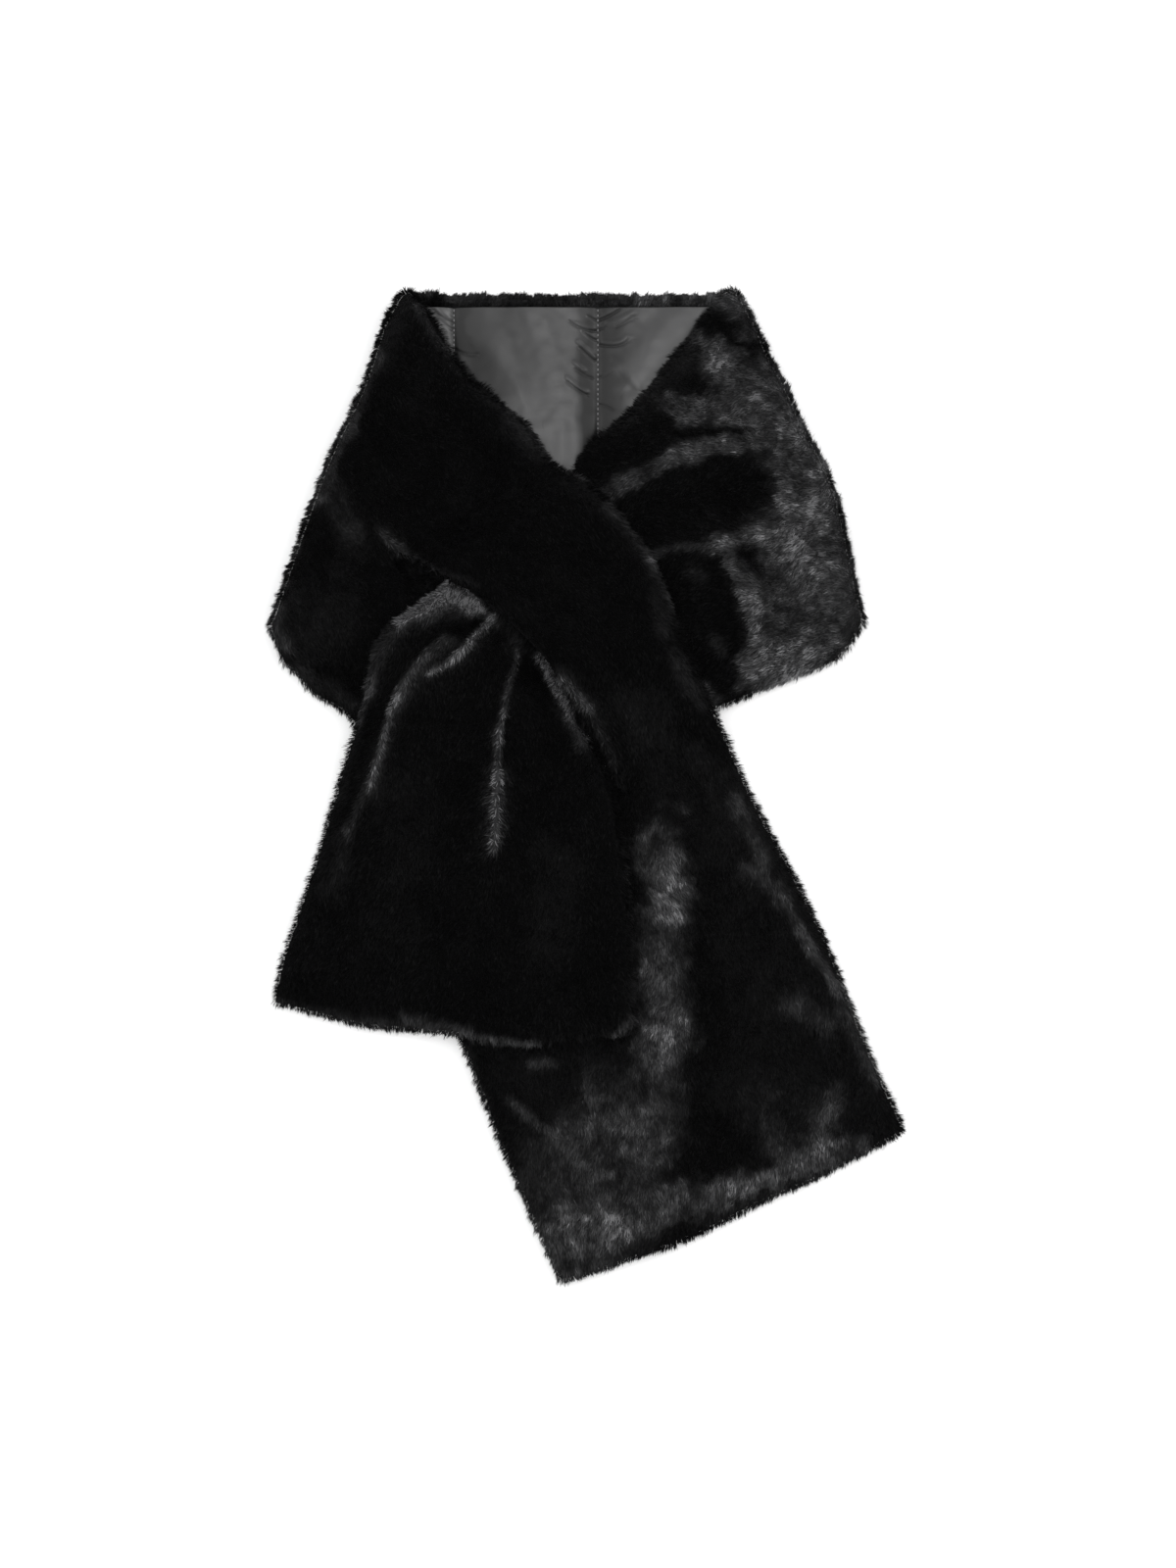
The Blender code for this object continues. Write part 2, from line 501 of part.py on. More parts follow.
def main():
    """Lay the stole down, layer by layer."""
    for old in list(bpy.data.objects):
        bpy.data.objects.remove(old)
    collection = bpy.data.collections.new("pull_through_stole")
    bpy.context.scene.collection.children.link(collection)
    pieces = []

    def add(name, panels, material):
        pieces.append(closed_solid(name, panels, material, collection))

    right_places = places_between(0, len(RIGHT_BAND) - 1)
    right = smooth_sections(RIGHT_BAND, right_places)
    right_columns = plain_columns(right_places)
    right_plan = plan_grid(right, right_columns, -1)
    left_places = places_between(0, LEFT_FRONT_END)
    left_places[-1] -= JOIN
    left = smooth_sections(LEFT_BAND, left_places)
    left_axis = plan_grid(left[:1], plain_columns(left_places[:1]), 1)[0]

    # The stretch behind the neck and its lining lie on the surface.
    ground = HeightMap()
    over, under = back_surfaces(left_axis, right_plan[0])
    add("back_fur", [(over, under)], fabric("black_fur_back", (0.008, 0.008, 0.009), 0.7, 0.4))
    ground.lay(over)
    over, under = lining_surfaces()
    add("back_lining", [(over, under)], fabric("quilted_satin", (0.105, 0.105, 0.108), 0.38, 0.2))
    ground.lay(over)

    # The right front lies on them, and its gathered end runs under the bridge of the left front.
    full = fullness(right_columns, right)
    relief = fold_relief(right_plan, RIGHT_FOLDS) * ease(right_places)[:, None]
    relief *= ease(HIDDEN_PLACE - right_places)[:, None]
    over, under = surfaces(right_plan, full, right, ground.under(right_plan), relief)
    over, under = round_the_shoulder(over, under, right[0, 2], -1)
    add("right_front", [(over, under)], fabric("black_fur_right", (0.010, 0.010, 0.011), 0.7, 0.5))
    bridged = HeightMap(ground)
    bridged.lay(over)

    # The short tail's first rows pass under the bridge's lip, so they are felt out before it is laid.
    tail_places = places_between(0, len(SHORT_TAIL) - 1, hem=True)
    tail = smooth_sections(SHORT_TAIL, tail_places)
    tail_columns = plain_columns(tail_places)
    tail_plan = plan_grid(tail, tail_columns, -1)
    throat = tail_places <= THROAT_END
    throat_full = fullness(tail_columns[throat], tail[throat])
    over, under = surfaces(tail_plan[throat], throat_full, tail[throat], ground.under(tail_plan[throat]), 0)
    bridged.lay(over)

    # The left front: its outer part stays low beside the slot, its bridge goes over the gathered band.
    outer_columns, bridge_columns = slot_columns(left_places)
    opened = np.minimum(left_places - SLOT_START, SLOT_END - left_places)
    is_open = opened > 0
    shut = 1 - ease(opened / SLOT_TAPER)[:, None]
    plan = plan_grid(left, outer_columns, 1)
    low = ground.under(plan)
    low += (bridged.under(plan) - low) * shut
    full = fullness(outer_columns, left, last_is_edge=is_open)
    turned = ease(left_places)[:, None]
    outer = surfaces(plan, full, left, low, fold_relief(plan, LEFT_FOLDS) * turned)
    outer = round_the_shoulder(*outer, left[0, 2], 1)
    plan = plan_grid(left, bridge_columns, 1)
    from_neck = (1 - bridge_columns) / (1 - bridge_columns[:, :1])
    low = bridged.under(plan) + BRIDGE_ARCH * (1 - shut) * from_neck ** 2
    full = fullness(bridge_columns, left, first_is_edge=is_open)
    bridge = surfaces(plan, full, left, low, fold_relief(plan, LEFT_FOLDS) * turned)
    bridge = round_the_shoulder(*bridge, left[0, 2], 1)
    add("left_front", [outer, bridge], fabric("black_fur_left", (0.008, 0.008, 0.009), 0.7, 0.4))

    # The long tail carries on from the left front to its hem.
    places = places_between(LEFT_FRONT_END, len(LEFT_BAND) - 1, hem=True)
    places[0] += JOIN
    sections = smooth_sections(LEFT_BAND, places)
    outer_columns, bridge_columns = slot_columns(places)
    columns = np.hstack((outer_columns, bridge_columns[:, 1:]))
    plan = plan_grid(sections, columns, 1)
    full = np.minimum(fullness(columns, sections), hem_fullness(plan))
    over, under = surfaces(plan, full, sections, bridged.under(plan), fold_relief(plan, TAIL_FOLDS))
    add("long_tail", [(over, under)], fabric("black_fur_long_tail", (0.012, 0.012, 0.013), 0.7, 0.5))

    # The short tail comes up out of the slot and lies on the outer part, the long tail and the surface.
    ground.lay(outer[0])
    ground.lay(over)
    shoulder = len(FOLD_RINGS)
    closed_after = shoulder + int(np.flatnonzero(is_open)[-1]) + 1
    ground.lay(bridge[0][closed_after:])
    full = np.minimum(fullness(tail_columns, tail), hem_fullness(tail_plan))
    relief = fold_relief(tail_plan, SHORT_FOLDS) * ease(tail_places - THROAT_END)[:, None]
    over, under = surfaces(tail_plan, full, tail, ground.under(tail_plan), relief)
    add("short_tail", [(over, under)], fabric("black_fur_short_tail", (0.008, 0.008, 0.009), 0.7, 0.4))

    centre_on_origin(pieces)


if __name__ == "__main__":
    main()
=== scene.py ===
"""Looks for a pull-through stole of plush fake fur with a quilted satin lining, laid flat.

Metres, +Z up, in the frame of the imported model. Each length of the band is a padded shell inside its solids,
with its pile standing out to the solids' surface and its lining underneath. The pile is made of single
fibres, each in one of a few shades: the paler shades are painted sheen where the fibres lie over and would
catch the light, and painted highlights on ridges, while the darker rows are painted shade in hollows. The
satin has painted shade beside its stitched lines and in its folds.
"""
import math
from collections import namedtuple

import bmesh
import bpy
import numpy as np
from bpy.props import FloatProperty, FloatVectorProperty, IntProperty, PointerProperty
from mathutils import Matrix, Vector, noise
from mathutils.bvhtree import BVHTree


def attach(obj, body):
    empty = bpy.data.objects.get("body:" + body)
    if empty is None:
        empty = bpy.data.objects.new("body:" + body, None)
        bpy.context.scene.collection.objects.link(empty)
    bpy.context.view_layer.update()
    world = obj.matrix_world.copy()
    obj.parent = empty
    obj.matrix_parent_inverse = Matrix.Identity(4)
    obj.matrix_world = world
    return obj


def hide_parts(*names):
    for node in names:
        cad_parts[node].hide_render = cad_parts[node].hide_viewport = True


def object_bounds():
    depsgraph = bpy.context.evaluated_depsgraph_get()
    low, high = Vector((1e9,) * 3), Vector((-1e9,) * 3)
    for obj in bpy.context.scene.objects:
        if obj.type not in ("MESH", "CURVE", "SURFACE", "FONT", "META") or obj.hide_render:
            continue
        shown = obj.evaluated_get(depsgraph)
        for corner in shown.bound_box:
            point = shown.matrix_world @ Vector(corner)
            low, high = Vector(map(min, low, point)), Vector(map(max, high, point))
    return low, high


bl_info = {
    "name": "Fur Stole Looks",
    "version": (1, 0, 0),
    "blender": (4, 5, 0),
    "location": "View3D > Sidebar > Fur Stole",
    "description": "Dresses the packed stole in pile, satin lining and stitches, and sets its studio",
    "category": "Object",
}

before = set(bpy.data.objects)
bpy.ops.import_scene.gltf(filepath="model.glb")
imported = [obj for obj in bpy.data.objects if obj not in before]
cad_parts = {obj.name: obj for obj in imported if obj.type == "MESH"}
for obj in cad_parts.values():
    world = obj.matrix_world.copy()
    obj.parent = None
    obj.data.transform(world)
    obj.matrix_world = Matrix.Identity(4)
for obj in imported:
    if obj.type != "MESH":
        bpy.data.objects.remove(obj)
SOLID_LOW, SOLID_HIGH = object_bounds()

BODY = "root"
BAND_WIDTH = 0.300
DRAFT_ORIGIN = (-0.0001, 0.0023)    # the point that the tables below measure from
FLOOR_GAP = 0.0004                  # least height of any part of the stole

# The middle of a length of the band, from where it starts to where it ends. turn is how many degrees the
# pile lies to the left of it, and spread how many more it turns away towards the band's edges.
Course = namedtuple("Course", "x y spread turn")

# Painted sheen along a curve from start to end that leans towards bend, where the pile lies over and would
# shine. shine is 1 where the pile is painted palest and below 0 where it is painted shade. left and right are
# the reach to each side. part is how far the pile parts from the curve, as on a ridge, whose painted highlight
# is read from the fibres' roots outward.
CURVE = "start_x start_y bend_x bend_y end_x end_y"
Sheen = namedtuple("Sheen", f"{CURVE} shine left right part", defaults=(0,))

# One layer of smooth noise over the plan: the size of its patches, how much it counts, and its seed.
Layer = namedtuple("Layer", "size amount seed")

# One pile mesh: its name, the run of the band that it covers, and how many fibres it has.
Growth = namedtuple("Growth", "name start end fibres")

# Where the cloth is drawn aside: of which band, the place, how far, and how far round it the cloth follows.
Pull = namedtuple("Pull", "band x y dx dy reach")

# One cut length of the band: the nodes it stands for, its flat length, which side the pile is on, the tone
# of its darkest pile, and what it lies on.
Band = namedtuple("Band", "name nodes flat_length fur_up tone seed course sheens rests_on growths")

BACK_COURSE = (
    Course(0.160, 0.262, 0, 0),
    Course(-0.190, 0.262, 0, 0),
)
# Painted sheen on the back's strip: its pile is painted paler where it would catch the light.
BACK_SHEENS = (
    Sheen(0.052, 0.396, 0.090, 0.397, 0.126, 0.398, 0.60, 0.010, 0.010),
    Sheen(-0.110, 0.396, -0.030, 0.394, 0.056, 0.394, 0.32, 0.010, 0.010),
    Sheen(-0.150, 0.400, -0.144, 0.402, -0.132, 0.402, 0.40, 0.006, 0.006),
)

RIGHT_COURSE = (
    Course(0.162, 0.264, 6, -36),
    Course(0.110, 0.205, 10, -30),
    Course(0.050, 0.155, 12, -16),
    Course(-0.047, 0.119, 12, 0),
    Course(-0.059, 0.109, 10, 0),
    Course(-0.074, 0.032, 12, 0),
    Course(-0.088, -0.073, 14, 2),
    Course(-0.105, -0.160, 15, 6),
    Course(-0.109, -0.192, 15, 6),
)
# Painted sheen, painted highlights on ridges and rims, and painted shade in hollows, of the right band's pile.
RIGHT_SHEENS = (
    # The ridge below the neck, and the patches above it.
    Sheen(0.010, 0.230, 0.040, 0.250, 0.080, 0.266, 0.66, 0.008, 0.006),
    Sheen(0.080, 0.267, 0.110, 0.276, 0.175, 0.283, 0.74, 0.011, 0.008),
    Sheen(0.068, 0.306, 0.085, 0.302, 0.120, 0.300, 0.74, 0.012, 0.010),
    Sheen(0.075, 0.295, 0.110, 0.294, 0.146, 0.293, 0.40, 0.007, 0.006),
    Sheen(0.104, 0.347, 0.118, 0.330, 0.140, 0.303, 0.82, 0.016, 0.017),
    Sheen(0.096, 0.284, 0.114, 0.284, 0.136, 0.287, -0.40, 0.0026, 0.0030),
    Sheen(0.104, 0.398, 0.118, 0.392, 0.130, 0.372, 0.66, 0.010, 0.012),
    Sheen(0.124, 0.392, 0.134, 0.376, 0.148, 0.352, 0.30, 0.006, 0.008),
    Sheen(0.104, 0.366, 0.128, 0.374, 0.142, 0.338, -0.14, 0.010, 0.010),
    Sheen(0.018, 0.304, 0.050, 0.322, 0.080, 0.354, 0.16, 0.012, 0.018),
    # The wide bright part towards the shoulder and the hem.
    Sheen(0.150, 0.330, 0.178, 0.284, 0.192, 0.238, 0.62, 0.020, 0.024),
    Sheen(0.166, 0.262, 0.178, 0.220, 0.186, 0.176, 0.56, 0.028, 0.024),
    Sheen(0.152, 0.198, 0.154, 0.150, 0.158, 0.084, 0.56, 0.040, 0.026),
    Sheen(0.165, 0.175, 0.176, 0.150, 0.180, 0.110, 0.12, 0.025, 0.025),
    Sheen(0.170, 0.210, 0.190, 0.200, 0.206, 0.180, 0.20, 0.030, 0.030),
    Sheen(0.180, 0.290, 0.206, 0.226, 0.216, 0.160, 0.12, 0.016, 0.012),
    Sheen(0.192, 0.170, 0.198, 0.140, 0.190, 0.100, 0.20, 0.020, 0.022),
    Sheen(0.106, 0.190, 0.120, 0.170, 0.132, 0.130, 0.62, 0.012, 0.0034),
    Sheen(0.131, 0.134, 0.137, 0.110, 0.128, 0.088, 0.54, 0.010, 0.0034),
    Sheen(0.102, 0.196, 0.150, 0.204, 0.205, 0.204, 0.36, 0.007, 0.008),
    Sheen(0.210, 0.140, 0.190, 0.112, 0.160, 0.092, 0.50, 0.018, 0.016),
    Sheen(0.130, 0.098, 0.140, 0.086, 0.160, 0.084, 0.34, 0.010, 0.008),
    Sheen(0.124, 0.188, 0.136, 0.178, 0.146, 0.164, -0.26, 0.007, 0.007),
    Sheen(0.200, 0.168, 0.188, 0.144, 0.168, 0.116, -0.30, 0.008, 0.009),
    Sheen(0.208, 0.160, 0.212, 0.150, 0.216, 0.140, -0.12, 0.008, 0.006),
    Sheen(0.176, 0.216, 0.190, 0.220, 0.206, 0.214, -0.16, 0.007, 0.006),
    Sheen(0.140, 0.170, 0.160, 0.164, 0.172, 0.160, -0.10, 0.005, 0.005),
    Sheen(0.128, 0.246, 0.164, 0.250, 0.204, 0.243, -0.22, 0.0022, 0.0022),
    Sheen(0.150, 0.200, 0.182, 0.194, 0.212, 0.196, -0.18, 0.0020, 0.0020),
    # The hollow by the crossing: painted shade in it and painted sheen round it.
    Sheen(0.050, 0.183, 0.072, 0.196, 0.096, 0.190, 0.30, 0.003, 0.004),
    Sheen(0.110, 0.172, 0.118, 0.150, 0.124, 0.118, -0.40, 0.002, 0.010),
    Sheen(0.084, 0.172, 0.088, 0.170, 0.092, 0.166, 0.16, 0.006, 0.006),
    Sheen(0.102, 0.116, 0.107, 0.112, 0.110, 0.106, 0.36, 0.005, 0.005),
    Sheen(0.090, 0.080, 0.096, 0.074, 0.104, 0.068, 0.46, 0.006, 0.006),
    Sheen(0.126, 0.106, 0.129, 0.090, 0.122, 0.078, 0.40, 0.004, 0.004),
    # The short tail: painted highlights on the cap where it comes through, its ridges, and its rim.
    Sheen(-0.134, 0.150, -0.113, 0.168, -0.092, 0.152, 1.90, 0.006, 0.0120, 0.8),
    Sheen(-0.150, 0.132, -0.140, 0.147, -0.126, 0.155, 1.10, 0.004, 0.0064, 0.6),
    Sheen(-0.136, 0.134, -0.114, 0.144, -0.094, 0.137, 0.26, 0.007, 0.009),
    Sheen(-0.098, 0.156, -0.091, 0.153, -0.086, 0.147, 0.80, 0.004, 0.0060, 0.6),
    Sheen(-0.142, 0.140, -0.166, 0.125, -0.176, 0.080, 0.32, 0.009, 0.005, 0.4),
    Sheen(-0.174, 0.086, -0.181, 0.066, -0.186, 0.050, 0.38, 0.004, 0.006),
    Sheen(-0.186, 0.050, -0.198, 0.000, -0.222, -0.070, 0.08, 0.006, 0.006),
    Sheen(-0.076, 0.138, -0.090, 0.120, -0.106, 0.106, 0.70, 0.0032, 0.0016, 0.3),
    Sheen(-0.078, 0.134, -0.092, 0.117, -0.108, 0.103, 0.30, 0.0080, 0.0020, 0.2),
    Sheen(-0.104, 0.107, -0.113, 0.099, -0.128, 0.092, 0.85, 0.0034, 0.0018, 0.3),
    Sheen(-0.115, 0.119, -0.146, 0.097, -0.156, 0.070, 0.58, 0.0038, 0.0018, 0.4),
    Sheen(-0.112, 0.116, -0.143, 0.094, -0.154, 0.068, 0.32, 0.0080, 0.0024, 0.3),
    Sheen(-0.156, 0.070, -0.166, 0.040, -0.177, 0.002, 0.62, 0.0034, 0.0018, 0.4),
    Sheen(-0.154, 0.070, -0.164, 0.038, -0.176, 0.000, 0.26, 0.0080, 0.0020, 0.3),
    Sheen(-0.177, 0.002, -0.185, -0.018, -0.194, -0.038, 0.26, 0.0050, 0.0030, 0.3),
    Sheen(-0.198, -0.044, -0.200, -0.065, -0.209, -0.086, 0.15, 0.011, 0.010),
    Sheen(-0.056, 0.109, -0.063, 0.084, -0.067, 0.056, 0.50, 0.0016, 0.0034, 0.4),
    Sheen(-0.067, 0.060, -0.072, 0.034, -0.073, 0.004, 0.50, 0.0018, 0.0034, 0.5),
    Sheen(-0.071, 0.046, -0.072, 0.040, -0.072, 0.034, 0.40, 0.0030, 0.0050, 0.5),
    Sheen(-0.073, 0.008, -0.074, -0.026, -0.076, -0.054, 0.50, 0.0020, 0.0022, 0.6),
    Sheen(-0.073, 0.010, -0.074, -0.018, -0.076, -0.047, 0.29, 0.0080, 0.0090, 1.0),
    Sheen(-0.036, 0.105, -0.031, 0.094, -0.024, 0.080, 1.60, 0.0054, 0.0050, 0.6),
    Sheen(-0.025, 0.086, -0.018, 0.074, -0.010, 0.064, 1.10, 0.0044, 0.0064, 0.6),
    Sheen(-0.022, 0.072, -0.012, 0.056, -0.003, 0.036, 0.62, 0.0016, 0.0070, 0.5),
    Sheen(-0.078, 0.137, -0.064, 0.130, -0.056, 0.108, 0.24, 0.006, 0.008),
    Sheen(-0.124, 0.108, -0.100, 0.128, -0.088, 0.130, -0.20, 0.004, 0.003),
    Sheen(-0.030, -0.060, -0.022, -0.098, -0.030, -0.132, 0.10, 0.020, 0.020),
    Sheen(-0.150, -0.020, -0.150, -0.060, -0.160, -0.110, 0.05, 0.030, 0.030),
    Sheen(-0.252, -0.180, -0.200, -0.192, -0.150, -0.196, 0.28, 0.005, 0.005),
    Sheen(-0.150, -0.190, -0.130, -0.196, -0.098, -0.202, 0.42, 0.006, 0.005),
    Sheen(-0.100, -0.203, -0.050, -0.212, -0.014, -0.217, 0.56, 0.004, 0.004),
    Sheen(-0.015, -0.217, 0.010, -0.218, 0.022, -0.208, 0.56, 0.004, 0.004),
    Sheen(0.022, -0.206, 0.032, -0.198, 0.041, -0.190, 0.34, 0.005, 0.005),
    Sheen(0.034, -0.072, 0.037, -0.080, 0.038, -0.092, 0.62, 0.004, 0.004),
    Sheen(0.030, -0.020, 0.036, -0.100, 0.040, -0.176, 0.14, 0.004, 0.004),
)

LEFT_COURSE = (
    Course(-0.197, 0.260, 8, 0),
    Course(-0.114, 0.164, 8, 0),
    Course(-0.056, 0.080, 6, 0),
    Course(-0.009, -0.046, 6, -12),
    Course(0.052, -0.188, 5, -20),
    Course(0.094, -0.289, 4, -22),
    Course(0.118, -0.345, 4, -22),
)
# Painted sheen, painted highlights on the crease and lip, and painted shade, of the left band's pile.
LEFT_SHEENS = (
    # Along the shoulder's fold.
    Sheen(-0.168, 0.350, -0.182, 0.318, -0.196, 0.284, 0.26, 0.005, 0.006),
    Sheen(-0.193, 0.298, -0.206, 0.268, -0.219, 0.234, 0.56, 0.008, 0.009),
    Sheen(-0.218, 0.242, -0.226, 0.230, -0.233, 0.214, 0.40, 0.007, 0.008),
    Sheen(-0.239, 0.194, -0.245, 0.178, -0.249, 0.162, 0.50, 0.006, 0.007),
    Sheen(-0.253, 0.142, -0.258, 0.122, -0.247, 0.110, 0.34, 0.008, 0.008),
    Sheen(-0.232, 0.150, -0.215, 0.125, -0.235, 0.114, 0.11, 0.015, 0.015),
    Sheen(-0.207, 0.240, -0.200, 0.225, -0.192, 0.204, 0.20, 0.010, 0.010),
    Sheen(-0.196, 0.200, -0.186, 0.160, -0.210, 0.110, 0.07, 0.016, 0.018),
    Sheen(-0.150, 0.388, -0.160, 0.356, -0.186, 0.310, 0.12, 0.010, 0.010),
    Sheen(-0.236, 0.092, -0.214, 0.084, -0.192, 0.066, 0.20, 0.006, 0.008),
    # By the neck, and the edge that crosses over.
    Sheen(-0.139, 0.386, -0.129, 0.366, -0.112, 0.348, 0.24, 0.004, 0.004),
    Sheen(-0.126, 0.394, -0.112, 0.364, -0.090, 0.338, 0, 0.012, 0.020, 1.6),
    Sheen(-0.105, 0.342, -0.080, 0.320, -0.060, 0.300, 0.10, 0.004, 0.008),
    Sheen(-0.062, 0.298, -0.052, 0.283, -0.036, 0.268, 0.18, 0.006, 0.010),
    Sheen(-0.017, 0.257, -0.010, 0.249, -0.001, 0.243, 0.50, 0.0036, 0.0030),
    Sheen(0.018, 0.224, 0.036, 0.206, 0.050, 0.184, 0.32, 0.004, 0.006),
    Sheen(0.050, 0.185, 0.058, 0.165, 0.073, 0.140, 0.46, 0.004, 0.006),
    Sheen(0.056, 0.152, 0.058, 0.136, 0.062, 0.122, 0.14, 0.008, 0.008),
    Sheen(0.070, 0.102, 0.076, 0.082, 0.094, 0.066, 0.20, 0.007, 0.008),
    # The crease and the lip where the other end passes through.
    Sheen(-0.168, 0.202, -0.152, 0.186, -0.128, 0.171, 0.38, 0.0066, 0.0020, 0.7),
    Sheen(-0.128, 0.172, -0.108, 0.168, -0.090, 0.160, 0.18, 0.004, 0.003),
    Sheen(-0.022, 0.088, -0.012, 0.076, -0.002, 0.064, 0.56, 0.0070, 0.0030, 0.6),
    Sheen(0.000, 0.062, 0.014, 0.040, 0.027, 0.000, 0.22, 0.0050, 0.0030, 0.4),
    Sheen(0.040, 0.062, 0.055, 0.030, 0.064, -0.012, 0.10, 0.022, 0.020),
    Sheen(0.090, 0.022, 0.108, -0.008, 0.122, -0.022, 0.14, 0.012, 0.012),
    # The bright strip down the long tail.
    Sheen(0.054, -0.050, 0.060, -0.058, 0.058, -0.072, 0.56, 0.020, 0.019),
    Sheen(0.056, -0.016, 0.068, -0.014, 0.078, -0.020, 0.20, 0.004, 0.004),
    Sheen(0.040, -0.078, 0.044, -0.094, 0.042, -0.112, -0.25, 0.010, 0.010),
    Sheen(0.070, -0.056, 0.076, -0.080, 0.070, -0.106, 0.40, 0.010, 0.013),
    Sheen(0.068, -0.092, 0.071, -0.115, 0.066, -0.144, 0.42, 0.014, 0.016),
    Sheen(0.043, -0.104, 0.046, -0.128, 0.052, -0.162, 0.42, 0.010, 0.010),
    Sheen(0.066, -0.156, 0.063, -0.182, 0.064, -0.212, 0.42, 0.020, 0.022),
    Sheen(0.060, -0.204, 0.058, -0.240, 0.050, -0.288, 0.42, 0.024, 0.024),
    Sheen(0.040, -0.082, 0.047, -0.090, 0.052, -0.098, 0.20, 0.008, 0.008),
    Sheen(0.080, -0.216, 0.088, -0.215, 0.092, -0.209, 0.28, 0.004, 0.003),
    # Low down on the long tail.
    Sheen(0.000, -0.290, 0.004, -0.325, -0.008, -0.366, 0.42, 0.052, 0.030),
    Sheen(-0.040, -0.300, -0.036, -0.350, -0.024, -0.392, 0.24, 0.024, 0.020),
    Sheen(-0.008, -0.378, 0.050, -0.350, 0.112, -0.334, 0.60, 0.018, 0.012),
    Sheen(-0.016, -0.374, 0.020, -0.362, 0.060, -0.348, 0.42, 0.022, 0.012),
    Sheen(-0.020, -0.396, -0.010, -0.390, 0.000, -0.384, 0.30, 0.010, 0.008),
    Sheen(0.010, -0.394, 0.045, -0.382, 0.090, -0.364, -0.18, 0.006, 0.008),
    Sheen(0.098, -0.336, 0.160, -0.321, 0.222, -0.292, 0.64, 0.011, 0.009),
    Sheen(0.196, -0.258, 0.190, -0.280, 0.186, -0.300, 0.36, 0.013, 0.013),
    Sheen(0.150, -0.286, 0.162, -0.296, 0.170, -0.306, 0.32, 0.015, 0.014),
    Sheen(-0.004, -0.400, 0.090, -0.364, 0.240, -0.296, 0.16, 0.006, 0.006),
    Sheen(-0.062, -0.256, -0.050, -0.273, -0.026, -0.283, 0.54, 0.004, 0.005),
    Sheen(-0.046, -0.226, -0.036, -0.229, -0.028, -0.228, 0.34, 0.004, 0.004),
    Sheen(-0.050, -0.236, 0.000, -0.256, 0.020, -0.300, 0.07, 0.048, 0.030),
    Sheen(-0.100, -0.214, -0.074, -0.300, -0.030, -0.396, 0.22, 0.004, 0.005),
    # Its right edge.
    Sheen(0.121, -0.016, 0.134, -0.040, 0.146, -0.066, 0.28, 0.006, 0.008),
    Sheen(0.128, -0.070, 0.145, -0.074, 0.158, -0.092, 0.30, 0.009, 0.010),
    Sheen(0.160, -0.092, 0.170, -0.115, 0.182, -0.135, 0.34, 0.004, 0.005),
    Sheen(0.172, -0.120, 0.190, -0.148, 0.208, -0.176, 0.50, 0.005, 0.005),
    Sheen(0.206, -0.180, 0.222, -0.212, 0.235, -0.240, 0.36, 0.008, 0.007),
    Sheen(0.164, -0.180, 0.182, -0.188, 0.192, -0.196, 0.22, 0.013, 0.013),
    Sheen(0.118, -0.250, 0.140, -0.262, 0.170, -0.268, 0.10, 0.022, 0.022),
    Sheen(0.130, -0.060, 0.150, -0.150, 0.180, -0.260, 0.08, 0.060, 0.050),
)

BANDS = (
    Band(
        "back", ("back_fur",), 0.385, False, 0.05, 11, BACK_COURSE, BACK_SHEENS, (),
        (Growth("pile_back", -1, 2, 34000),)),
    Band(
        "right", ("right_front", "short_tail"), 0.600, True, 0.038, 23, RIGHT_COURSE, RIGHT_SHEENS,
        ("back_fur", "left_front", "long_tail"),
        (Growth("pile_right_front", -1, 0.266, 62000), Growth("pile_short_tail", 0.266, 2, 90000))),
    Band(
        "left", ("left_front", "long_tail"), 0.715, True, 0.040, 37, LEFT_COURSE, LEFT_SHEENS,
        ("back_fur", "right_front"),
        (Growth("pile_left_front", -1, 0.405, 90000), Growth("pile_long_tail", 0.405, 2, 88000))),
)

PULLS = (
    # The neck edge, and the two sides of the slot where it would gape.
    Pull("left", -0.111, 0.352, -0.0074, -0.0066, 0.022),
    Pull("left", -0.088, 0.333, -0.0074, -0.0068, 0.018),
    Pull("left", -0.066, 0.312, -0.0046, -0.0042, 0.018),
    Pull("left", -0.026, 0.270, -0.0078, -0.0062, 0.030),
    Pull("right", 0.006, 0.270, -0.0086, 0.0056, 0.030),
    Pull("left", 0.020, 0.020, -0.0038, -0.0020, 0.016),
    Pull("left", 0.002, 0.050, -0.0022, -0.0012, 0.016),
    Pull("right", 0.008, 0.020, 0.0028, 0.0013, 0.016),
    Pull("right", -0.006, 0.048, 0.0016, 0.0008, 0.016),
    # The left shoulder, from the top down.
    Pull("all", -0.157, 0.398, 0.0036, -0.0012, 0.016),
    Pull("all", -0.190, 0.328, 0.0046, -0.0020, 0.045),
    Pull("left", -0.250, 0.110, -0.0050, -0.0038, 0.015),
    Pull("left", -0.232, 0.086, 0.0030, 0.0036, 0.014),
    Pull("left", -0.205, 0.064, 0.0020, 0.0040, 0.022),
    # The right shoulder.
    Pull("all", 0.180, 0.300, -0.0064, -0.0026, 0.040),
    Pull("all", 0.158, 0.350, -0.0036, -0.0014, 0.025),
    Pull("right", 0.218, 0.122, 0.0044, -0.0054, 0.015),
    # The tails.
    Pull("right", -0.108, -0.206, 0.0000, 0.0060, 0.024),
    Pull("right", -0.142, -0.200, 0.0000, 0.0062, 0.034),
    Pull("left", 0.140, -0.345, -0.0024, 0.0052, 0.055),
    Pull("left", 0.228, -0.212, -0.0032, -0.0014, 0.055),
    Pull("left", -0.062, -0.315, 0.0026, 0.0010, 0.060),
)

